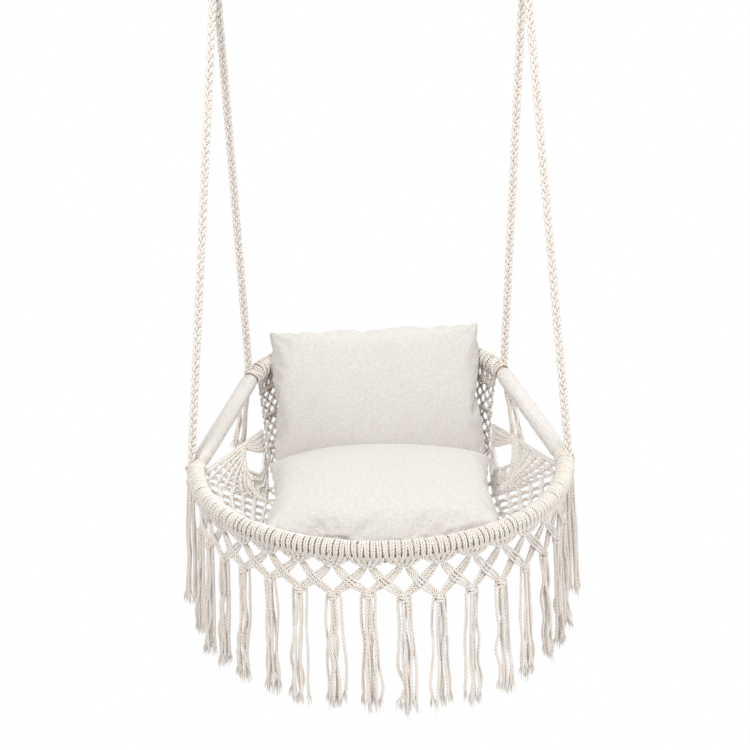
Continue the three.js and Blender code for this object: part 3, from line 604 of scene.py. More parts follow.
def strand(cords, top, foot, wave, radius=CORD_RADIUS, start_bow=(0, 0, 0)):
    """One loose strand that hangs from top to foot with a slow wave, frayed at its end."""
    top, foot = Vector(top), Vector(foot)
    shift = [Vector((*chance.normal(0, wave, 2), 0)) for _ in range(5)]
    guides = [top]
    guides.append(top.lerp(foot, 0.05) + Vector(start_bow) + shift[0] * 0.3)
    for k, share in enumerate((0.3, 0.5, 0.7, 0.87)):
        guides.append(top.lerp(foot, share) + shift[k + 1] + Vector(start_bow) * (1 - share))
    guides.append(foot)
    lay_cord(cords, guides, radius, STRAND_LAY, swell=[0.96, 1, 1, 1, 1.02, 1.12])
    fray(cords, foot, (foot - guides[-2]).normalized())


for side in SIDES:
    for name, middle, tail_length in (
        ("front", WRAP_END + HITCH_WIDTH / 2, TAIL_LENGTH_FRONT),
        ("back", ARM_END + HITCH_WIDTH / 2, TAIL_LENGTH_BACK),
    ):
        distance = SIDES[side] * middle
        along, out, up = frame_axes(distance)
        cords = new_cords()
        for k in range(HITCH_TURNS):
            place = distance + (k - (HITCH_TURNS - 1) / 2) * HITCH_PITCH
            wrap_turn(cords, place, HITCH_CORD_RADIUS, 0, 0.1, HITCH_RING_RADIUS)
        lay_ring(cords, frame_point(distance) + out * CROSSING_LIFT, out, 0.84 * up + 0.54 * along,
                 CROSSING_RADIUS, CROSSING_RADIUS, HITCH_CORD_RADIUS)
        hitch = tie_off(cords, f"rope_knot_{name}_{side}", COTTON_CORD)
        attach(hitch, "chair")
        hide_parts(f"rope_hitch_{name}_{side}")

        tails = new_cords()
        outset = Vector(sided((TAIL_OUTSETS[name], 0, 0), side))
        beside = Vector(frame_point(distance)) + Vector(out) * TAIL_START_OUT + outset * 0.6
        for k in range(TAIL_STRANDS):
            angle = math.tau * k / TAIL_STRANDS
            reach = Vector((math.cos(angle) * TAIL_HALF_SPREAD, math.sin(angle) * TAIL_HALF_SPREAD, 0))
            top = beside + reach * 0.8
            top.z -= TAIL_START_DROP
            fall = tail_length * chance.uniform(0.95, 1) - FRAY_LENGTH * 0.6
            foot = top + outset + reach * 0.9 - Vector((0, 0, fall))
            strand(tails, top, foot, TAIL_WAVE, TAIL_RADIUS)
        for k in range(2):
            lay_ring(tails, beside - Vector((0, 0, BINDING_DROP + BINDING_PITCH * k)), (1, 0, 0.1), (0, 1, 0),
                     BINDING_RADIUS, BINDING_RADIUS)
        tail = tie_off(tails, f"rope_ends_{name}_{side}", COTTON_CORD)
        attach(tail, "chair")
        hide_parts(f"rope_tail_{name}_{side}")
        top, foot = (sided(point, side) for point in ROPE_ROUTES[f"rope_{name}"])

# Arm sleeves
# A padded tube of the cushions' cotton cloth round each arm, sewn along the underside and gathered at
# both ends where it meets the cord.
SLEEVE_RADIUS = 0.0176
SLEEVE_END_RADIUS = 0.0152
SLEEVE_BORE = 0.0132
SLEEVE_END_GAP = 0.004
SLEEVE_SHOULDER = 0.014
SLEEVE_SIDES = 48
SLEEVE_ROWS = 30
SEAM_DEPTH = 0.0006
CLOTH_CREAM = (0.60, 0.565, 0.52)
CLOTH_PALE = (0.80, 0.775, 0.75)
# Painted shade: the pillows' copies of the cloth are darkened to this share of the sleeves' tone, to offset
# the stronger light on them.
CUSHION_SHADE_SHARE = 0.895
THREAD_PITCH = 0.0022


def woven_cloth_finish(name, turn, painted_shade_tone=1):
    """Plain-woven slubby cotton, its threads along X and Y after the turn, its colours scaled down as painted
    shade for copies that sit in stronger light.
    """
    material, nodes, links, shader = new_material(name, CLOTH_PALE, 0.92)
    shader.inputs["Sheen Weight"].default_value = 0.3
    shader.inputs["Specular IOR Level"].default_value = 0.2
    place = nodes.new("ShaderNodeTexCoord")
    square = nodes.new("ShaderNodeMapping")
    square.inputs["Rotation"].default_value = turn
    links.new(place.outputs["Object"], square.inputs["Vector"])
    slub = nodes.new("ShaderNodeTexNoise")
    slub.inputs["Scale"].default_value = 230
    slub.inputs["Detail"].default_value = 5
    slub.inputs["Roughness"].default_value = 0.65
    links.new(square.outputs["Vector"], slub.inputs["Vector"])
    threads = []
    for direction in ("X", "Y"):
        wave = nodes.new("ShaderNodeTexWave")
        wave.bands_direction = direction
        wave.inputs["Scale"].default_value = math.tau / 20 / THREAD_PITCH
        wave.inputs["Distortion"].default_value = 1.4
        wave.inputs["Detail"].default_value = 2
        wave.inputs["Detail Scale"].default_value = 0.7
        links.new(square.outputs["Vector"], wave.inputs["Vector"])
        threads.append(wave)
    weave = nodes.new("ShaderNodeMath")
    weave.operation = "MULTIPLY"
    links.new(threads[0].outputs["Fac"], weave.inputs[0])
    links.new(threads[1].outputs["Fac"], weave.inputs[1])
    relief_sum = nodes.new("ShaderNodeMath")
    relief_sum.operation = "ADD"
    links.new(weave.outputs["Value"], relief_sum.inputs[0])
    links.new(slub.outputs["Fac"], relief_sum.inputs[1])
    tones = nodes.new("ShaderNodeValToRGB")
    tones.color_ramp.elements[0].position = 0.46
    tones.color_ramp.elements[0].color = (*(painted_shade_tone * c for c in CLOTH_CREAM), 1)
    tones.color_ramp.elements[1].position = 0.76
    tones.color_ramp.elements[1].color = (*(painted_shade_tone * c for c in CLOTH_PALE), 1)
    links.new(relief_sum.outputs["Value"], tones.inputs["Fac"])
    links.new(tones.outputs["Color"], shader.inputs["Base Color"])
    relief = nodes.new("ShaderNodeBump")
    relief.inputs["Strength"].default_value = 0.5
    relief.inputs["Distance"].default_value = 0.0008
    links.new(relief_sum.outputs["Value"], relief.inputs["Height"])
    links.new(relief.outputs["Normal"], shader.inputs["Normal"])
    return material


for side in SIDES:
    start, end = (Vector(sided(point, side)) for point in (ARM_FRONT, ARM_BACK))
    heading = (end - start).normalized()
    length = (end - start).length - 2 * SLEEVE_END_GAP
    cloth = woven_cloth_finish(f"sleeve_cloth_{side}", heading.to_track_quat("X", "Z").inverted().to_euler())
    sleeve = bmesh.new()
    bmesh.ops.create_circle(sleeve, segments=SLEEVE_SIDES, radius=SLEEVE_BORE)
    rows = [(0.0, SLEEVE_END_RADIUS - 0.001), (0.0015, SLEEVE_END_RADIUS),
            (0.006, SLEEVE_END_RADIUS + 0.0005), (SLEEVE_SHOULDER, SLEEVE_RADIUS)]
    rows += [(SLEEVE_SHOULDER + (length - 2 * SLEEVE_SHOULDER) * k / SLEEVE_ROWS, SLEEVE_RADIUS)
             for k in range(1, SLEEVE_ROWS)]
    rows += [(length - height, radius) for height, radius in reversed(rows[:4])]
    rows.append((length, SLEEVE_BORE))
    edge = sleeve.edges[:]
    turns = chance.uniform(0, math.tau, 6)
    for height, radius in rows:
        grown = bmesh.ops.extrude_edge_only(sleeve, edges=edge)["geom"]
        edge = [item for item in grown if isinstance(item, bmesh.types.BMEdge)]
        for vert in (item for item in grown if isinstance(item, bmesh.types.BMVert)):
            angle = math.atan2(vert.co.y, vert.co.x)
            gather = math.exp(-min(height, length - height) / 0.012)
            ripple = 0.00055 * gather * math.sin(15 * angle + turns[0])
            ripple += (0.00035 * math.sin(3 * angle + 55 * height + turns[1])
                       * math.sin(38 * height + turns[2]))
            ripple -= SEAM_DEPTH * math.exp(-((angle + math.pi / 2) / 0.07) ** 2)
            reach = radius + (ripple if radius > SLEEVE_BORE else 0)
            vert.co = Vector((math.cos(angle) * reach, math.sin(angle) * reach, height))
    first = [e for e in sleeve.edges if e.is_boundary]
    bmesh.ops.bridge_loops(sleeve, edges=first)
    upright = heading.to_track_quat("Z", "Y").to_matrix().to_4x4()
    bmesh.ops.transform(sleeve, matrix=upright, verts=sleeve.verts)
    bmesh.ops.translate(sleeve, vec=start + heading * SLEEVE_END_GAP, verts=sleeve.verts)
    bmesh.ops.recalc_face_normals(sleeve, faces=sleeve.faces)
    arm_cover = new_piece(f"arm_cover_{side}", sleeve, cloth)
    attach(arm_cover, "chair")
    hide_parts(f"arm_sleeve_{side}")

# Fringe
# The cords of six hitched pairs run together under the rim into each square knot. Three leave it to the
# left and three to the right, cross the neighbours' cords and gather at the head of the next tassel.
KNOT_DROP = 0.0310
GATHER_DROP = 0.088
GATHER_SLACKS = (0, 0, 0.002, -0.004, -0.004, -0.001, 0.002, -0.004,
                 0.005, 0.012, 0.010, 0.016, 0.009, 0.008, 0.007, 0.004)
KNOT_HALF_WIDTH = 0.0088
KNOT_HALF_HEIGHT = 0.0040
KNOT_HALF_DEPTH = 0.0056
BAND_START_DROP = KNOT_DROP + 0.003
BAND_END_LIFT = 0.002
BAND_TUCK = 0.009
BAND_SPACING = 0.0066
BAND_LIFT = 0.0034


def fringe_place(repeat, drop, lift=0):
    """A place under the rim: so many repeats from its left end, below its centre line, and outwards."""
    distance = (repeat - REPEATS / 2) * TURNS_PER_REPEAT * WRAP_PITCH
    along, out, _ = frame_axes(distance)
    level = np.array((along[0], along[1], 0)) / np.linalg.norm(along[:2])
    return frame_point(distance) - np.array((0, 0, drop)) + out * lift, level, out


def gather_drop(index):
    """How far below the rim's centre line a tassel's cords gather; no two hang quite alike."""
    return GATHER_DROP + GATHER_SLACKS[min(REPEATS - 1, max(0, index))]


def square_knot(cords, centre, across, out):
    """A flat knot: two bars tied across the core, held by a loop at each side."""
    up = np.cross(out, across)
    for bar in (-1, 1):
        lay_ring(cords, centre + bar * KNOT_HALF_HEIGHT * 0.5 * up, across + 0.22 * bar * up, out,
                 KNOT_HALF_WIDTH, KNOT_HALF_DEPTH, steps=8)
        lay_ring(cords, centre + bar * KNOT_HALF_WIDTH * 0.8 * across, up + 0.2 * bar * across, out,
                 KNOT_HALF_HEIGHT, KNOT_HALF_DEPTH * 0.75, steps=8)


def band_cord(cords, index, direction, lane):
    """One of the three cords of a band from a square knot to the next gathering point."""
    start = index + 0.5 + 0.07 * direction
    target = index + direction
    end = index + 0.5 + 0.96 * direction
    if not 0 <= target < REPEATS:
        target, end = index, index + 0.5 + 0.03 * direction
    fall = gather_drop(target) - BAND_END_LIFT - BAND_START_DROP
    heading = fringe_place(end, BAND_START_DROP + fall)[0] - fringe_place(start, BAND_START_DROP)[0]
    heading /= np.linalg.norm(heading)
    guides = [fringe_place(start - 0.02 * direction, KNOT_DROP - 0.001, 0.001 * lane)[0]]
    bulge = chance.uniform(0.85, 1.2)
    for share in (0.1, 0.3, 0.5, 0.7, 0.9):
        place, _, out = fringe_place(start + (end - start) * share, 0)
        side_step = np.cross(heading, out)
        spread = BAND_SPACING * (0.55 + 0.5 * math.sin(math.pi * share) * bulge) * lane
        lift = BAND_LIFT * direction * math.exp(-((share - 0.5) / 0.22) ** 2)
        drop = BAND_START_DROP + fall * share + 0.004 * math.sin(math.pi * share)
        lift += chance.normal(0, 0.0005)
        guides.append(place - np.array((0, 0, drop)) + side_step * spread + out * lift)
    guides.append(fringe_place(end, BAND_START_DROP + fall, 0.001 * lane)[0])
    guides.append(fringe_place(target + 0.5, BAND_START_DROP + fall + BAND_TUCK, -0.0005 * lane)[0])
    lay_cord(cords, guides, CORD_RADIUS * chance.uniform(1.0, 1.12))


cords = new_cords()
for i in range(REPEATS):
    repeat = i + 0.5
    knot, level, out = fringe_place(repeat, KNOT_DROP)
    square_knot(cords, knot, level, out)
    for turn in range(TURNS_PER_REPEAT):
        for pair in (-1, 1):
            offset = (turn + 0.5 + pair * 0.12) / TURNS_PER_REPEAT - 0.5
            outer = abs(offset) > 0.25
            guides = [
                fringe_place(repeat + offset, 0.0090, 0.0118)[0],
                fringe_place(repeat + offset * 0.97, 0.0160, 0.0104)[0],
                fringe_place(repeat + offset * 0.86, 0.0215, 0.0080)[0],
                fringe_place(repeat + offset * (0.60 if outer else 0.5), 0.0262, 0.0060 + 0.0012 * pair)[0],
                fringe_place(repeat + offset * 0.24, KNOT_DROP + (0.001 if outer else -0.003), 0.002)[0],
            ]
            lay_cord(cords, guides, CORD_RADIUS)
    for direction in (1, -1):
        for lane in (-1, 0, 1):
            band_cord(cords, i, direction, lane)
lattice = tie_off(cords, "knotted_fringe", COTTON_CORD)
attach(lattice, "chair")
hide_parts("fringe_lattice")

# Tassels
# Each gathering point is bound by a knot of its own cords. Five strands hang close together below it and
# one bows out at each side, slightly waved from the knotting, cut by hand and frayed.
TASSEL_LENGTH = 0.210
TASSEL_LENGTH_SHARES = (1, 1.03, 0.97, 1.02)
TASSEL_HEAD = 0.0153
TASSEL_LANES = (-1, -0.42, 0.05, 0.45, 1, -0.15, 0.28)
TASSEL_HALF_SPREADS = (0.0115, 0.0165)
TASSEL_SIZE_SHARES = (1.06, 1.2)
TASSEL_FLARE = 0.010
TASSEL_WAVE = 0.0022
TASSEL_HALF_DEPTH = 0.0030
HEAD_PITCH = 0.0054
HEAD_HALF_WIDTH = 0.0082
HEAD_HALF_DEPTH = 0.0062
for i in range(REPEATS):
    cords = new_cords()
    head, level, out = fringe_place(i + 0.5, gather_drop(i) + 0.003)
    from_end = min(i, REPEATS - 1 - i)
    length = TASSEL_LENGTH * TASSEL_LENGTH_SHARES[from_end % 4] + TASSEL_HEAD
    half_spread = chance.uniform(*TASSEL_HALF_SPREADS)
    for k in range(2):
        lean = 0.16 if k else -0.16
        lay_ring(cords, head - np.array((0, 0, HEAD_PITCH * k)), level + np.array((0, 0, lean)), out,
                 HEAD_HALF_WIDTH, HEAD_HALF_DEPTH, steps=8)
    drift = out * TASSEL_FLARE + level * chance.normal(0, 0.003)
    for k, lane in enumerate(TASSEL_LANES):
        depth = TASSEL_HALF_DEPTH if k % 2 else -TASSEL_HALF_DEPTH
        top = head + level * lane * 0.0062 + out * depth * 0.8 + np.array((0, 0, 0.005))
        foot = head + drift + level * (lane * half_spread + chance.normal(0, 0.0018))
        foot = foot + out * (depth * 1.3 + chance.normal(0, 0.002))
        foot = foot - np.array((0, 0, length * chance.uniform(0.95, 1.01) - FRAY_LENGTH * 0.8))
        bow = Vector(level * (half_spread * 0.42 * lane if abs(lane) == 1 else 0.002 * lane))
        strand(cords, top, foot, TASSEL_WAVE, CORD_RADIUS * chance.uniform(*TASSEL_SIZE_SHARES), bow)
    tassel = tie_off(cords, f"fringe_tassel_{i + 1:02d}", COTTON_CORD)
    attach(tassel, "chair")
    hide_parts(f"tassel_{i + 1:02d}")

# Seat net and side nets
# The floor is an open net of flat knots in alternate rows, hung from the rim and the back panel. The
# sides are a squarer net of doubled cords with knotted bars between them.
NET_FRONT_RUN = 0.457 * WRAP_END
NET_REAR_HALF_WIDTH = 0.235
NET_REAR_Y = 0.240
NET_REAR_CURVE_DEPTH = 0.070
NET_REAR_DROP = 1.060
FLOOR_SAG = 0.070
FLOOR_SIDE_RISE_SHARE = 0.6
FLOOR_RUN_SHARES = (0, 0.08, 0.2, 0.45, 0.78, 0.92, 1)
FLOOR_SAG_SHARES = (0, 0.42, 0.8, 1.05, 1.0, 0.55, 0)
WRAP_UNDERSIDE = 0.0089
SIDE_RIM_SHARES = (0.49, 0.977)
SIDE_NET_END_SHARE = 0.7
SEAT_CELLS = 14
NET_CORD_RADIUS = 0.0026
NET_STATION = 0.0036
NET_KNOT_HALF_WIDTH = 0.0052
NET_KNOT_HALF_DEPTH = 0.0034
PAIR_BOW_SHARES = ((0, 0, 0.6), (0.35, 0.0008, 1.5), (0.65, 0.0008, 1.5), (1, 0, 0.6))
BAR_KNOT_HALF_WIDTH = 0.0045
BAR_KNOT_HALF_HEIGHT = 0.0066
sag_line, _ = smooth_path(np.column_stack([FLOOR_RUN_SHARES, FLOOR_SAG_SHARES, np.zeros(7)]), 0.01)


def rear_edge(across):
    """The foot of the back panel, where the seat net starts."""
    y = NET_REAR_Y - NET_REAR_CURVE_DEPTH * across**2
    return np.array((across * NET_REAR_HALF_WIDTH, y, -NET_REAR_DROP))


def seat_surface(u, v):
    """The floor of the web: u from left to right, v from the rim to the back."""
    across = 2 * u - 1
    front = frame_point(across * NET_FRONT_RUN) - np.array((0, 0, WRAP_UNDERSIDE))
    point = front * (1 - v) + rear_edge(across) * v
    sag = np.interp(v, sag_line[:, 0], sag_line[:, 1])
    point[2] -= FLOOR_SAG * sag * (1 - FLOOR_SIDE_RISE_SHARE * across**2)
    return point


def side_surface(u, v):
    """The right-hand side of the web: u from front to back, v from the floor out to the rim."""
    start = seat_surface(1, u * SIDE_NET_END_SHARE) + np.array((0.001, 0, 0))
    low, high = SIDE_RIM_SHARES
    rim = frame_point(WRAP_END * (low + (high - low) * u)) - np.array((0, 0, WRAP_UNDERSIDE))
    return start * (1 - v) + rim * v


def web_point(surface, u, v, height=0):
    """A place on a web surface, raised along its own normal."""
    point = surface(min(1, max(0, u)), min(1, max(0, v)))
    u0, u1, v0, v1 = max(0, u - 0.02), min(1, u + 0.02), max(0, v - 0.02), min(1, v + 0.02)
    along = surface(u1, min(1, max(0, v))) - surface(u0, min(1, max(0, v)))
    down = surface(min(1, max(0, u)), v1) - surface(min(1, max(0, u)), v0)
    normal = np.cross(along, down)
    normal /= np.linalg.norm(normal)
    return point + normal * height, along / np.linalg.norm(along), normal


def mirrored(surface):
    """The same surface on the left-hand side."""
    return lambda u, v: surface(u, v) * np.array((-1, 1, 1))


def knotted_net(cords, surface, cells_u, cells_v):
    """Flat knots in alternate rows, joined by slanting pairs of cords."""
    for j in range(cells_v + 1):
        for i in range(j % 2, cells_u + 1, 2):
            u, v = i / cells_u, j / cells_v
            centre, across, normal = web_point(surface, u, v)
            if 0 < j < cells_v:
                down = np.cross(normal, across)
                for bar in (-1, 1):
                    lay_ring(cords, centre + bar * NET_KNOT_HALF_WIDTH * 0.45 * down,
                             across + 0.3 * bar * down, normal, NET_KNOT_HALF_WIDTH, NET_KNOT_HALF_DEPTH,
                             NET_CORD_RADIUS, NET_STATION, steps=8)
            if j == cells_v:
                continue
            for step in (-1, 1):
                if not 0 <= i + step <= cells_u:
                    continue
                for lane in (-1, 1):
                    guides = [web_point(surface, u + step * share / cells_u + lane * 0.0022 * spread,
                                        v + share / cells_v, step * lift)[0]
                              for share, lift, spread in PAIR_BOW_SHARES]
                    lay_cord(cords, guides, NET_CORD_RADIUS, station=NET_STATION)


def barred_net(cords, surface, rows, columns):
    """Pairs of cords from the floor to the rim, with knotted bars across them."""
    for row in range(rows + 1):
        u = row / rows
        for lane in (-1, 1):
            guides = [web_point(surface, u + lane * 0.016 + 0.008 * math.sin(9 * v + 2 * row), v)[0]
                      for v in np.linspace(0, 1, 2 * columns + 1)]
            lay_cord(cords, guides, NET_CORD_RADIUS, station=NET_STATION)
    for column in range(columns + 1):
        v = column / columns
        for row in range(rows):
            u = row / rows
            for lane in (-0.018, 0.018):
                guides = [web_point(surface, u + share / rows, v + lane * (-1 if k % 2 else 1), 0.0014)[0]
                          for k, share in enumerate((0, 0.2, 0.4, 0.6, 0.8, 1))]
                lay_cord(cords, guides, NET_CORD_RADIUS * 1.1, station=NET_STATION)
            for near in (-0.1, 0.1) if column else ():
                centre, across, normal = web_point(surface, u + near / rows, v)
                lay_ring(cords, centre, across, np.cross(normal, across), BAR_KNOT_HALF_WIDTH,
                         BAR_KNOT_HALF_HEIGHT, NET_CORD_RADIUS * 1.05, NET_STATION, steps=8)


cords = new_cords(PLAIN_SECTION)
knotted_net(cords, seat_surface, SEAT_CELLS, SEAT_CELLS)
seat_web = tie_off(cords, "seat_web", COTTON_CORD)
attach(seat_web, "chair")
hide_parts("seat_net")
for side in SIDES:
    surface = side_surface if side == "right" else mirrored(side_surface)
    cords = new_cords(PLAIN_SECTION)
    barred_net(cords, surface, 7, 6)
    side_web = tie_off(cords, f"side_web_{side}", COTTON_CORD)
    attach(side_web, "chair")
    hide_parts(f"side_net_{side}")

# Back panel and ribs
# A finer net hangs from the back of the frame behind the cushion, crossed by three thick ribs of half
# hitches over a cord, which hold its curve.
BACK_BULGE_DEPTH = 0.014
BACK_FOOT_LIFT = 0.006
PANEL_COLUMNS = 58
PANEL_ROW = 0.0125
PANEL_CORD_RADIUS = 0.0029
PANEL_CORD_LAY = 0.011
PANEL_STATION = 0.0042
PANEL_LANE = 0.0019
SLANT_CORDS = 44
SLANT_SHARE = 0.018
RIB_RADIUS = 0.0048
RIB_PITCH = 0.0052
RIB_SHARES = {"hitched_rib_1": 0.19, "hitched_rib_middle": 0.47, "hitched_rib_2": 0.80}
RIB_LIFT = -0.0030


def back_surface(u, v):
    """The back panel: u from left to right, v from the frame down to the seat net."""
    top = frame_point(2 * HALF_LENGTH - BACK_START - 2 * (HALF_LENGTH - BACK_START) * u)
    top = top - np.array((0, 0, WRAP_UNDERSIDE))
    foot = rear_edge(2 * u - 1) + np.array((0, 0, BACK_FOOT_LIFT))
    point = top * (1 - v) + foot * v
    point[1] += BACK_BULGE_DEPTH * math.sin(math.pi * v)
    return point


def panel_cord(cords, guides):
    """One cord of the back panel, its station long enough to keep the panel light."""
    lay_cord(cords, guides, PANEL_CORD_RADIUS, PANEL_CORD_LAY, PANEL_STATION)


first_rib = RIB_SHARES["hitched_rib_1"]
cords = new_cords(PLAIN_SECTION)
for k in range(SLANT_CORDS):
    for slant in (-1, 1):
        u = k / (SLANT_CORDS - 1)
        foot = min(1, max(0, u + SLANT_SHARE * slant))
        guides = [web_point(back_surface, u + (foot - u) * share, first_rib * share, 0.0015 * slant)[0]
                  for share in (0, 0.35, 0.7, 1)]
        for lane in (-1, 1):
            panel_cord(cords, [guide + lane * np.array((PANEL_LANE, 0, 0)) for guide in guides])
for k in range(PANEL_COLUMNS + 1):
    u = k / PANEL_COLUMNS
    reach = np.linalg.norm(back_surface(u, 1) - back_surface(u, first_rib))
    meetings = round(reach / PANEL_ROW)
    for lane in (-1, 1):
        guides = []
        for step in range(2 * meetings + 1):
            towards = (1 if (step // 2 + k) % 2 else -1) if step % 2 == 0 else 0
            down = first_rib + (1 - first_rib) * step / (2 * meetings)
            sway = 0.36 * towards / PANEL_COLUMNS
            cross = PANEL_LANE * (lane if step % 2 == 0 else -lane)
            place, along, _ = web_point(back_surface, u + sway, down, 0.0011 * lane)
            guides.append(place + along * cross)
        panel_cord(cords, guides)
back_web = tie_off(cords, "back_web", COTTON_CORD)
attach(back_web, "chair")
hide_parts("back_panel")
for name, share in RIB_SHARES.items():
    cords = new_cords(PLAIN_SECTION)
    guides = [web_point(back_surface, u, share, RIB_LIFT)[0] for u in np.linspace(0, 1, 24)]
    lay_cord(cords, guides, RIB_RADIUS * 0.8)
    path, _ = smooth_path(guides, RIB_PITCH)
    for place, after in zip(path, path[1:]):
        heading = (after - place) / np.linalg.norm(after - place)
        high = np.cross(heading, (0, 1, 0.2))
        lay_ring(cords, place, np.cross(high, heading) + 0.35 * heading, high, RIB_RADIUS, RIB_RADIUS,
                 NET_CORD_RADIUS, NET_STATION, steps=8)
    rib = tie_off(cords, name, COTTON_CORD)
    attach(rib, "chair")
    if name != "hitched_rib_middle":
        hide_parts(name.replace("hitched", "back"))

# Wings
# The corners between the back and the sides are closed by a leaf of half hitches at the back panel, then by
# a fan of doubled cords and knotted bars to the rim. A slot stays open between them, bound along its edge.
WING_TOP_SHARE = 0.6
WING_JOIN_GAP = 0.006
LEAF_CORDS = 9
FREE_CORDS = 4
STEM_CORDS = 4
WING_CORD_RADIUS = 1.1 * CORD_RADIUS
WING_CORD_LAY = 0.009
STEM_TOP = np.array((0.29, 0.02))
STEM_FOOT = np.array((0.51, 0.46))
RIM_TOP = np.array((0.99, 0.02))
RIM_FOOT = np.array((0.99, 0.93))
SLOT_EDGE_SHARES = ((0.02, 0.53), (0.12, 0.66), (0.24, 0.75), (0.38, 0.73), (0.51, 0.50), (0.99, 0.96))


def wing_surface(u, v):
    """The right-hand wing: u from the back panel to the rim, v from its free edge down to the seat."""
    rear = back_surface(1, WING_TOP_SHARE + (1 - WING_TOP_SHARE) * v)
    front = side_surface(1, 1 - v)
    seat_edge = seat_surface(1, 1 - (1 - SIDE_NET_END_SHARE) * u)
    point = rear * (1 - u) + front * u
    straight = back_surface(1, 1) * (1 - u) + side_surface(1, 0) * u
    point = point + (seat_edge - straight) * v * v
    return point + np.array((WING_JOIN_GAP * (1 - u / 2), 0.0003 * u, 0))


def fan_surface(u, v):
    """The part of the wing in front of the slot: u from the stem to the rim, v from the top down."""
    stem = STEM_TOP * (1 - v) + STEM_FOOT * v
    rim = RIM_TOP * (1 - v) + RIM_FOOT * v
    return wing_surface(*(stem * (1 - u) + rim * u))


def foot_surface(u, v):
    """The part under the slot and the fan: u from the back panel to the rim, v down to the seat."""
    shares = np.array(SLOT_EDGE_SHARES)
    places = np.linspace(0, 1, len(shares))
    top = np.array([np.interp(u, places, shares[:, k]) for k in range(2)])
    return wing_surface(*(top * (1 - v) + np.array((0.02 + 0.97 * u, 0.99)) * v))


def wing_cord(cords, surface, shares, radius, height=0):
    """A cord through places on the wing, given as shares of its two spans."""
    places, _ = smooth_path([(u, v, 0) for u, v in shares], 0.06)
    lay_cord(cords, [web_point(surface, u, v, height)[0] for u, v, _ in places], radius, WING_CORD_LAY)


for side in SIDES:
    surface, fan, foot = (shape if side == "right" else mirrored(shape)
                          for shape in (wing_surface, fan_surface, foot_surface))
    cords = new_cords(PLAIN_SECTION)
    barred_net(cords, fan, 6, 7)
    barred_net(cords, foot, 11, 3)
    for k in range(LEAF_CORDS):
        share = k / (LEAF_CORDS - 1)
        swell = 0.05 * math.sin(math.pi * share)
        wing_cord(cords, surface, [(0.01, 0.02 + 0.5 * share), (0.15, 0.01 + 0.4 * share + swell),
                                   (0.30, 0.015 + 0.16 * share)], WING_CORD_RADIUS, 0.0012 * (k % 2))
    for k in range(FREE_CORDS):
        share = k / (FREE_CORDS - 1)
        wing_cord(cords, surface, [(0.27, 0.01 + 0.04 * share), (0.62, 0.002 + 0.05 * share),
                                   (0.99, 0.002 + 0.05 * share)], CORD_RADIUS, 0.001 * (k % 2))
    for k in range(STEM_CORDS):
        stem = np.array((0.018 * k, 0))
        wing_cord(cords, surface, [STEM_TOP + stem, (STEM_TOP + STEM_FOOT) / 2 + stem, STEM_FOOT + stem],
                  WING_CORD_RADIUS, 0.0012 * (k % 2))
    for k in range(2):
        wing_cord(cords, surface, [(0.005 + 0.02 * k, v) for v in (0.02, 0.5, 0.98)], WING_CORD_RADIUS)
        slot_edge = [(u, v + 0.035 * k) for u, v in SLOT_EDGE_SHARES[:-1]]
        wing_cord(cords, surface, slot_edge, WING_CORD_RADIUS, 0.001)
    wing = tie_off(cords, f"hitched_wing_{side}", COTTON_CORD)
    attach(wing, "chair")
    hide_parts(f"wing_{side}")

# Cushions
# Two loose polyester-filled pillows in plain-woven natural cotton. The covers are bagged out with a
# knife-edge seam, so the corners stand out as ears and the cloth puckers along the edges.
CUSHION_GRID = 14
CUSHION_EDGE = 0.006
CUSHION_ROLL = 0.160
CUSHION_START_THICKNESS_SHARE = 0.62
SEAT_PITCH = math.radians(2)
CLOTH_ROLL = math.radians(45)
SEAT_THICKNESS = 0.138
SEAT_FLARE_SHARE = 0.01
SEAT_BOW_SHARES = {"sides": 0.02, "front": 0.20, "rear": 0.08}
BACK_HEIGHT = 0.320
BACK_THICKNESS = 0.130
BACK_LEAN = math.radians(90 - 24)
BACK_TURN = math.radians(1.4)
BACK_BOW_SHARES = {"sides": 0.03, "front": 0.10, "rear": 0.135}
CUSHION_PROUD = 0.006
VOXEL = 0.0055
PUFF_FRAMES = 22
PUFF_PRESSURE = 2.5
PUFF_CAP = 0.060


def pillow_shape(width, depth, thickness, bows, flare=0):
    """A thin pillow on the origin, full in the middle, its edges bowed out for the filling to draw in."""
    pillow = bmesh.new()
    bmesh.ops.create_cube(pillow, size=1)
    sides = [e for e in pillow.edges if abs(e.verts[0].co.z - e.verts[1].co.z) < 0.5]
    bmesh.ops.subdivide_edges(pillow, edges=sides, cuts=CUSHION_GRID, use_grid_fill=True)

    def roll(distance):
        return math.sin(math.pi / 2 * min(1, max(0, distance) / CUSHION_ROLL))

    for vert in pillow.verts:
        x, y, z = vert.co
        full = roll((0.5 - abs(x)) * width) * roll((0.5 - abs(y)) * depth)
        height = CUSHION_EDGE + (thickness - CUSHION_EDGE) * full
        wide = 1 + bows["sides"] * (1 - 4 * y * y) + flare * max(0, -2 * y) ** 2
        deep = 1 + bows["front" if y < 0 else "rear"] * (1 - 4 * x * x)
        vert.co = (x * width * wide, y * depth * deep, z * height)
    return pillow


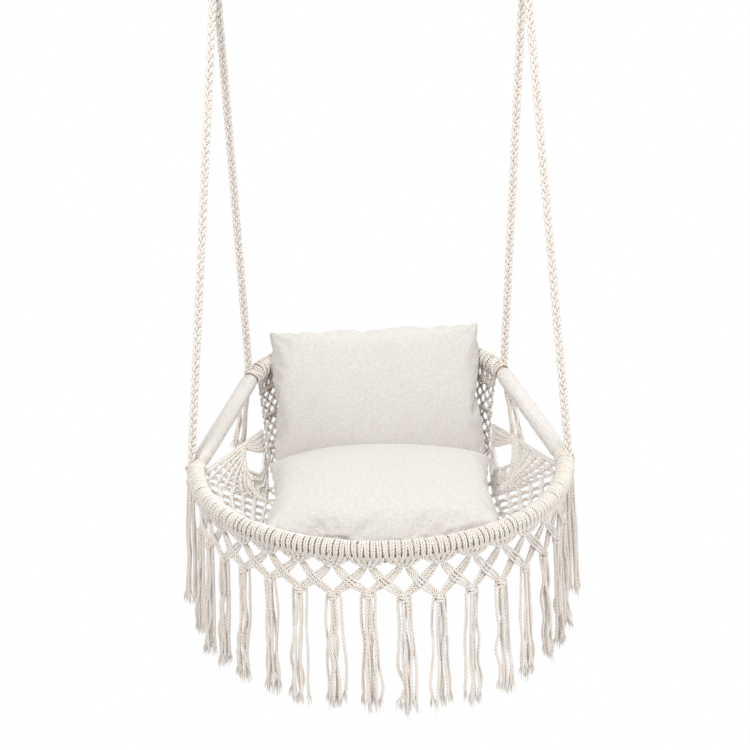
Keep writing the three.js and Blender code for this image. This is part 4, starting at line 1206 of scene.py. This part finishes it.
def puff(pillow):
    """Fills the pillow by cloth simulation, so its cover rounds out and puckers."""
    remesh = pillow.modifiers.new("even", "REMESH")
    remesh.mode = "VOXEL"
    remesh.voxel_size = VOXEL
    remesh.use_smooth_shade = True
    bpy.context.view_layer.objects.active = pillow
    bpy.ops.object.modifier_apply(modifier=remesh.name)
    before = np.empty(len(pillow.data.vertices) * 3)
    pillow.data.vertices.foreach_get("co", before)
    before = before.reshape(-1, 3)
    cloth = pillow.modifiers.new("fill", "CLOTH")
    cloth.settings.quality = 6
    cloth.settings.mass = 0.25
    cloth.settings.tension_stiffness = 15
    cloth.settings.compression_stiffness = 15
    cloth.settings.shear_stiffness = 7.5
    cloth.settings.bending_stiffness = 0.2
    cloth.settings.use_pressure = True
    cloth.settings.uniform_pressure_force = PUFF_PRESSURE
    cloth.settings.effector_weights.gravity = 0
    cloth.point_cache.frame_start = 1
    cloth.point_cache.frame_end = PUFF_FRAMES
    for step in range(1, PUFF_FRAMES + 1):
        scene.frame_set(step)
    settled = pillow.evaluated_get(bpy.context.evaluated_depsgraph_get()).data
    after = np.empty(len(settled.vertices) * 3)
    settled.vertices.foreach_get("co", after)
    pillow.modifiers.remove(cloth)
    scene.frame_set(1)
    move = after.reshape(-1, 3) - before
    size = np.linalg.norm(move, axis=1, keepdims=True)
    before = before + move * np.minimum(1, PUFF_CAP / np.maximum(size, 1e-9))
    pillow.data.vertices.foreach_set("co", before.ravel())
    return pillow


def place_cushion(pillow, size, place):
    """Brings a filled pillow to its true width, depth and thickness, then to its place."""
    corners = np.empty(len(pillow.data.vertices) * 3)
    pillow.data.vertices.foreach_get("co", corners)
    corners = corners.reshape(-1, 3)
    low, high = corners.min(axis=0), corners.max(axis=0)
    corners = (corners - (low + high) / 2) * (np.array(size) / (high - low))
    turned = corners @ np.array(place.to_3x3()).T + np.array(place.translation)
    pillow.data.vertices.foreach_set("co", turned.ravel())
    pillow.data.update()


def finish_cushion(pillow, body, node):
    """Smooths a placed pillow, ties it to its body and hides the node it stands for."""
    smooth = pillow.modifiers.new("smooth", "SUBSURF")
    smooth.levels = 1
    smooth.render_levels = 1
    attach(pillow, body)
    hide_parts(node)


seat_low, seat_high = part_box("seat_cushion")
seat_size = (seat_high.x - seat_low.x, seat_high.y - seat_low.y, SEAT_THICKNESS)
seat_shape = pillow_shape(*seat_size[:2], SEAT_THICKNESS * CUSHION_START_THICKNESS_SHARE, SEAT_BOW_SHARES,
                          SEAT_FLARE_SHARE)
# The seat pillow's cloth is darkened by the shade share, painted shade against the strong light on it.
seat_cloth = woven_cloth_finish("seat_cloth", (-SEAT_PITCH - CLOTH_ROLL, 0, 0), CUSHION_SHADE_SHARE)
seat_pillow = puff(new_piece("seat_pillow", seat_shape, seat_cloth))
seat_place = Matrix.Translation((seat_low + seat_high) / 2) @ Matrix.Rotation(SEAT_PITCH, 4, "X")
place_cushion(seat_pillow, seat_size, seat_place)
finish_cushion(seat_pillow, "seat_cushion", "seat_cushion")

back_low, back_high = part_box("back_cushion")
back_size = (back_high.x - back_low.x + CUSHION_PROUD, BACK_HEIGHT, BACK_THICKNESS)
back_shape = pillow_shape(*back_size[:2], BACK_THICKNESS * CUSHION_START_THICKNESS_SHARE, BACK_BOW_SHARES)
# The back pillow's cloth is darkened by the shade share, painted shade against the strong light on it.
back_cloth = woven_cloth_finish("back_cloth", (-BACK_LEAN, 0, 0), CUSHION_SHADE_SHARE)
back_pillow = puff(new_piece("back_pillow", back_shape, back_cloth))
back_place = Matrix.Translation((back_low + back_high) / 2) @ Matrix.Rotation(BACK_LEAN, 4, "X")
place_cushion(back_pillow, back_size, back_place @ Matrix.Rotation(BACK_TURN, 4, "Z"))
finish_cushion(back_pillow, "back_cushion", "back_cushion")

for section in (FINE_SECTION, PLAIN_SECTION, ROPE_SECTION):
    bpy.data.objects.remove(section)
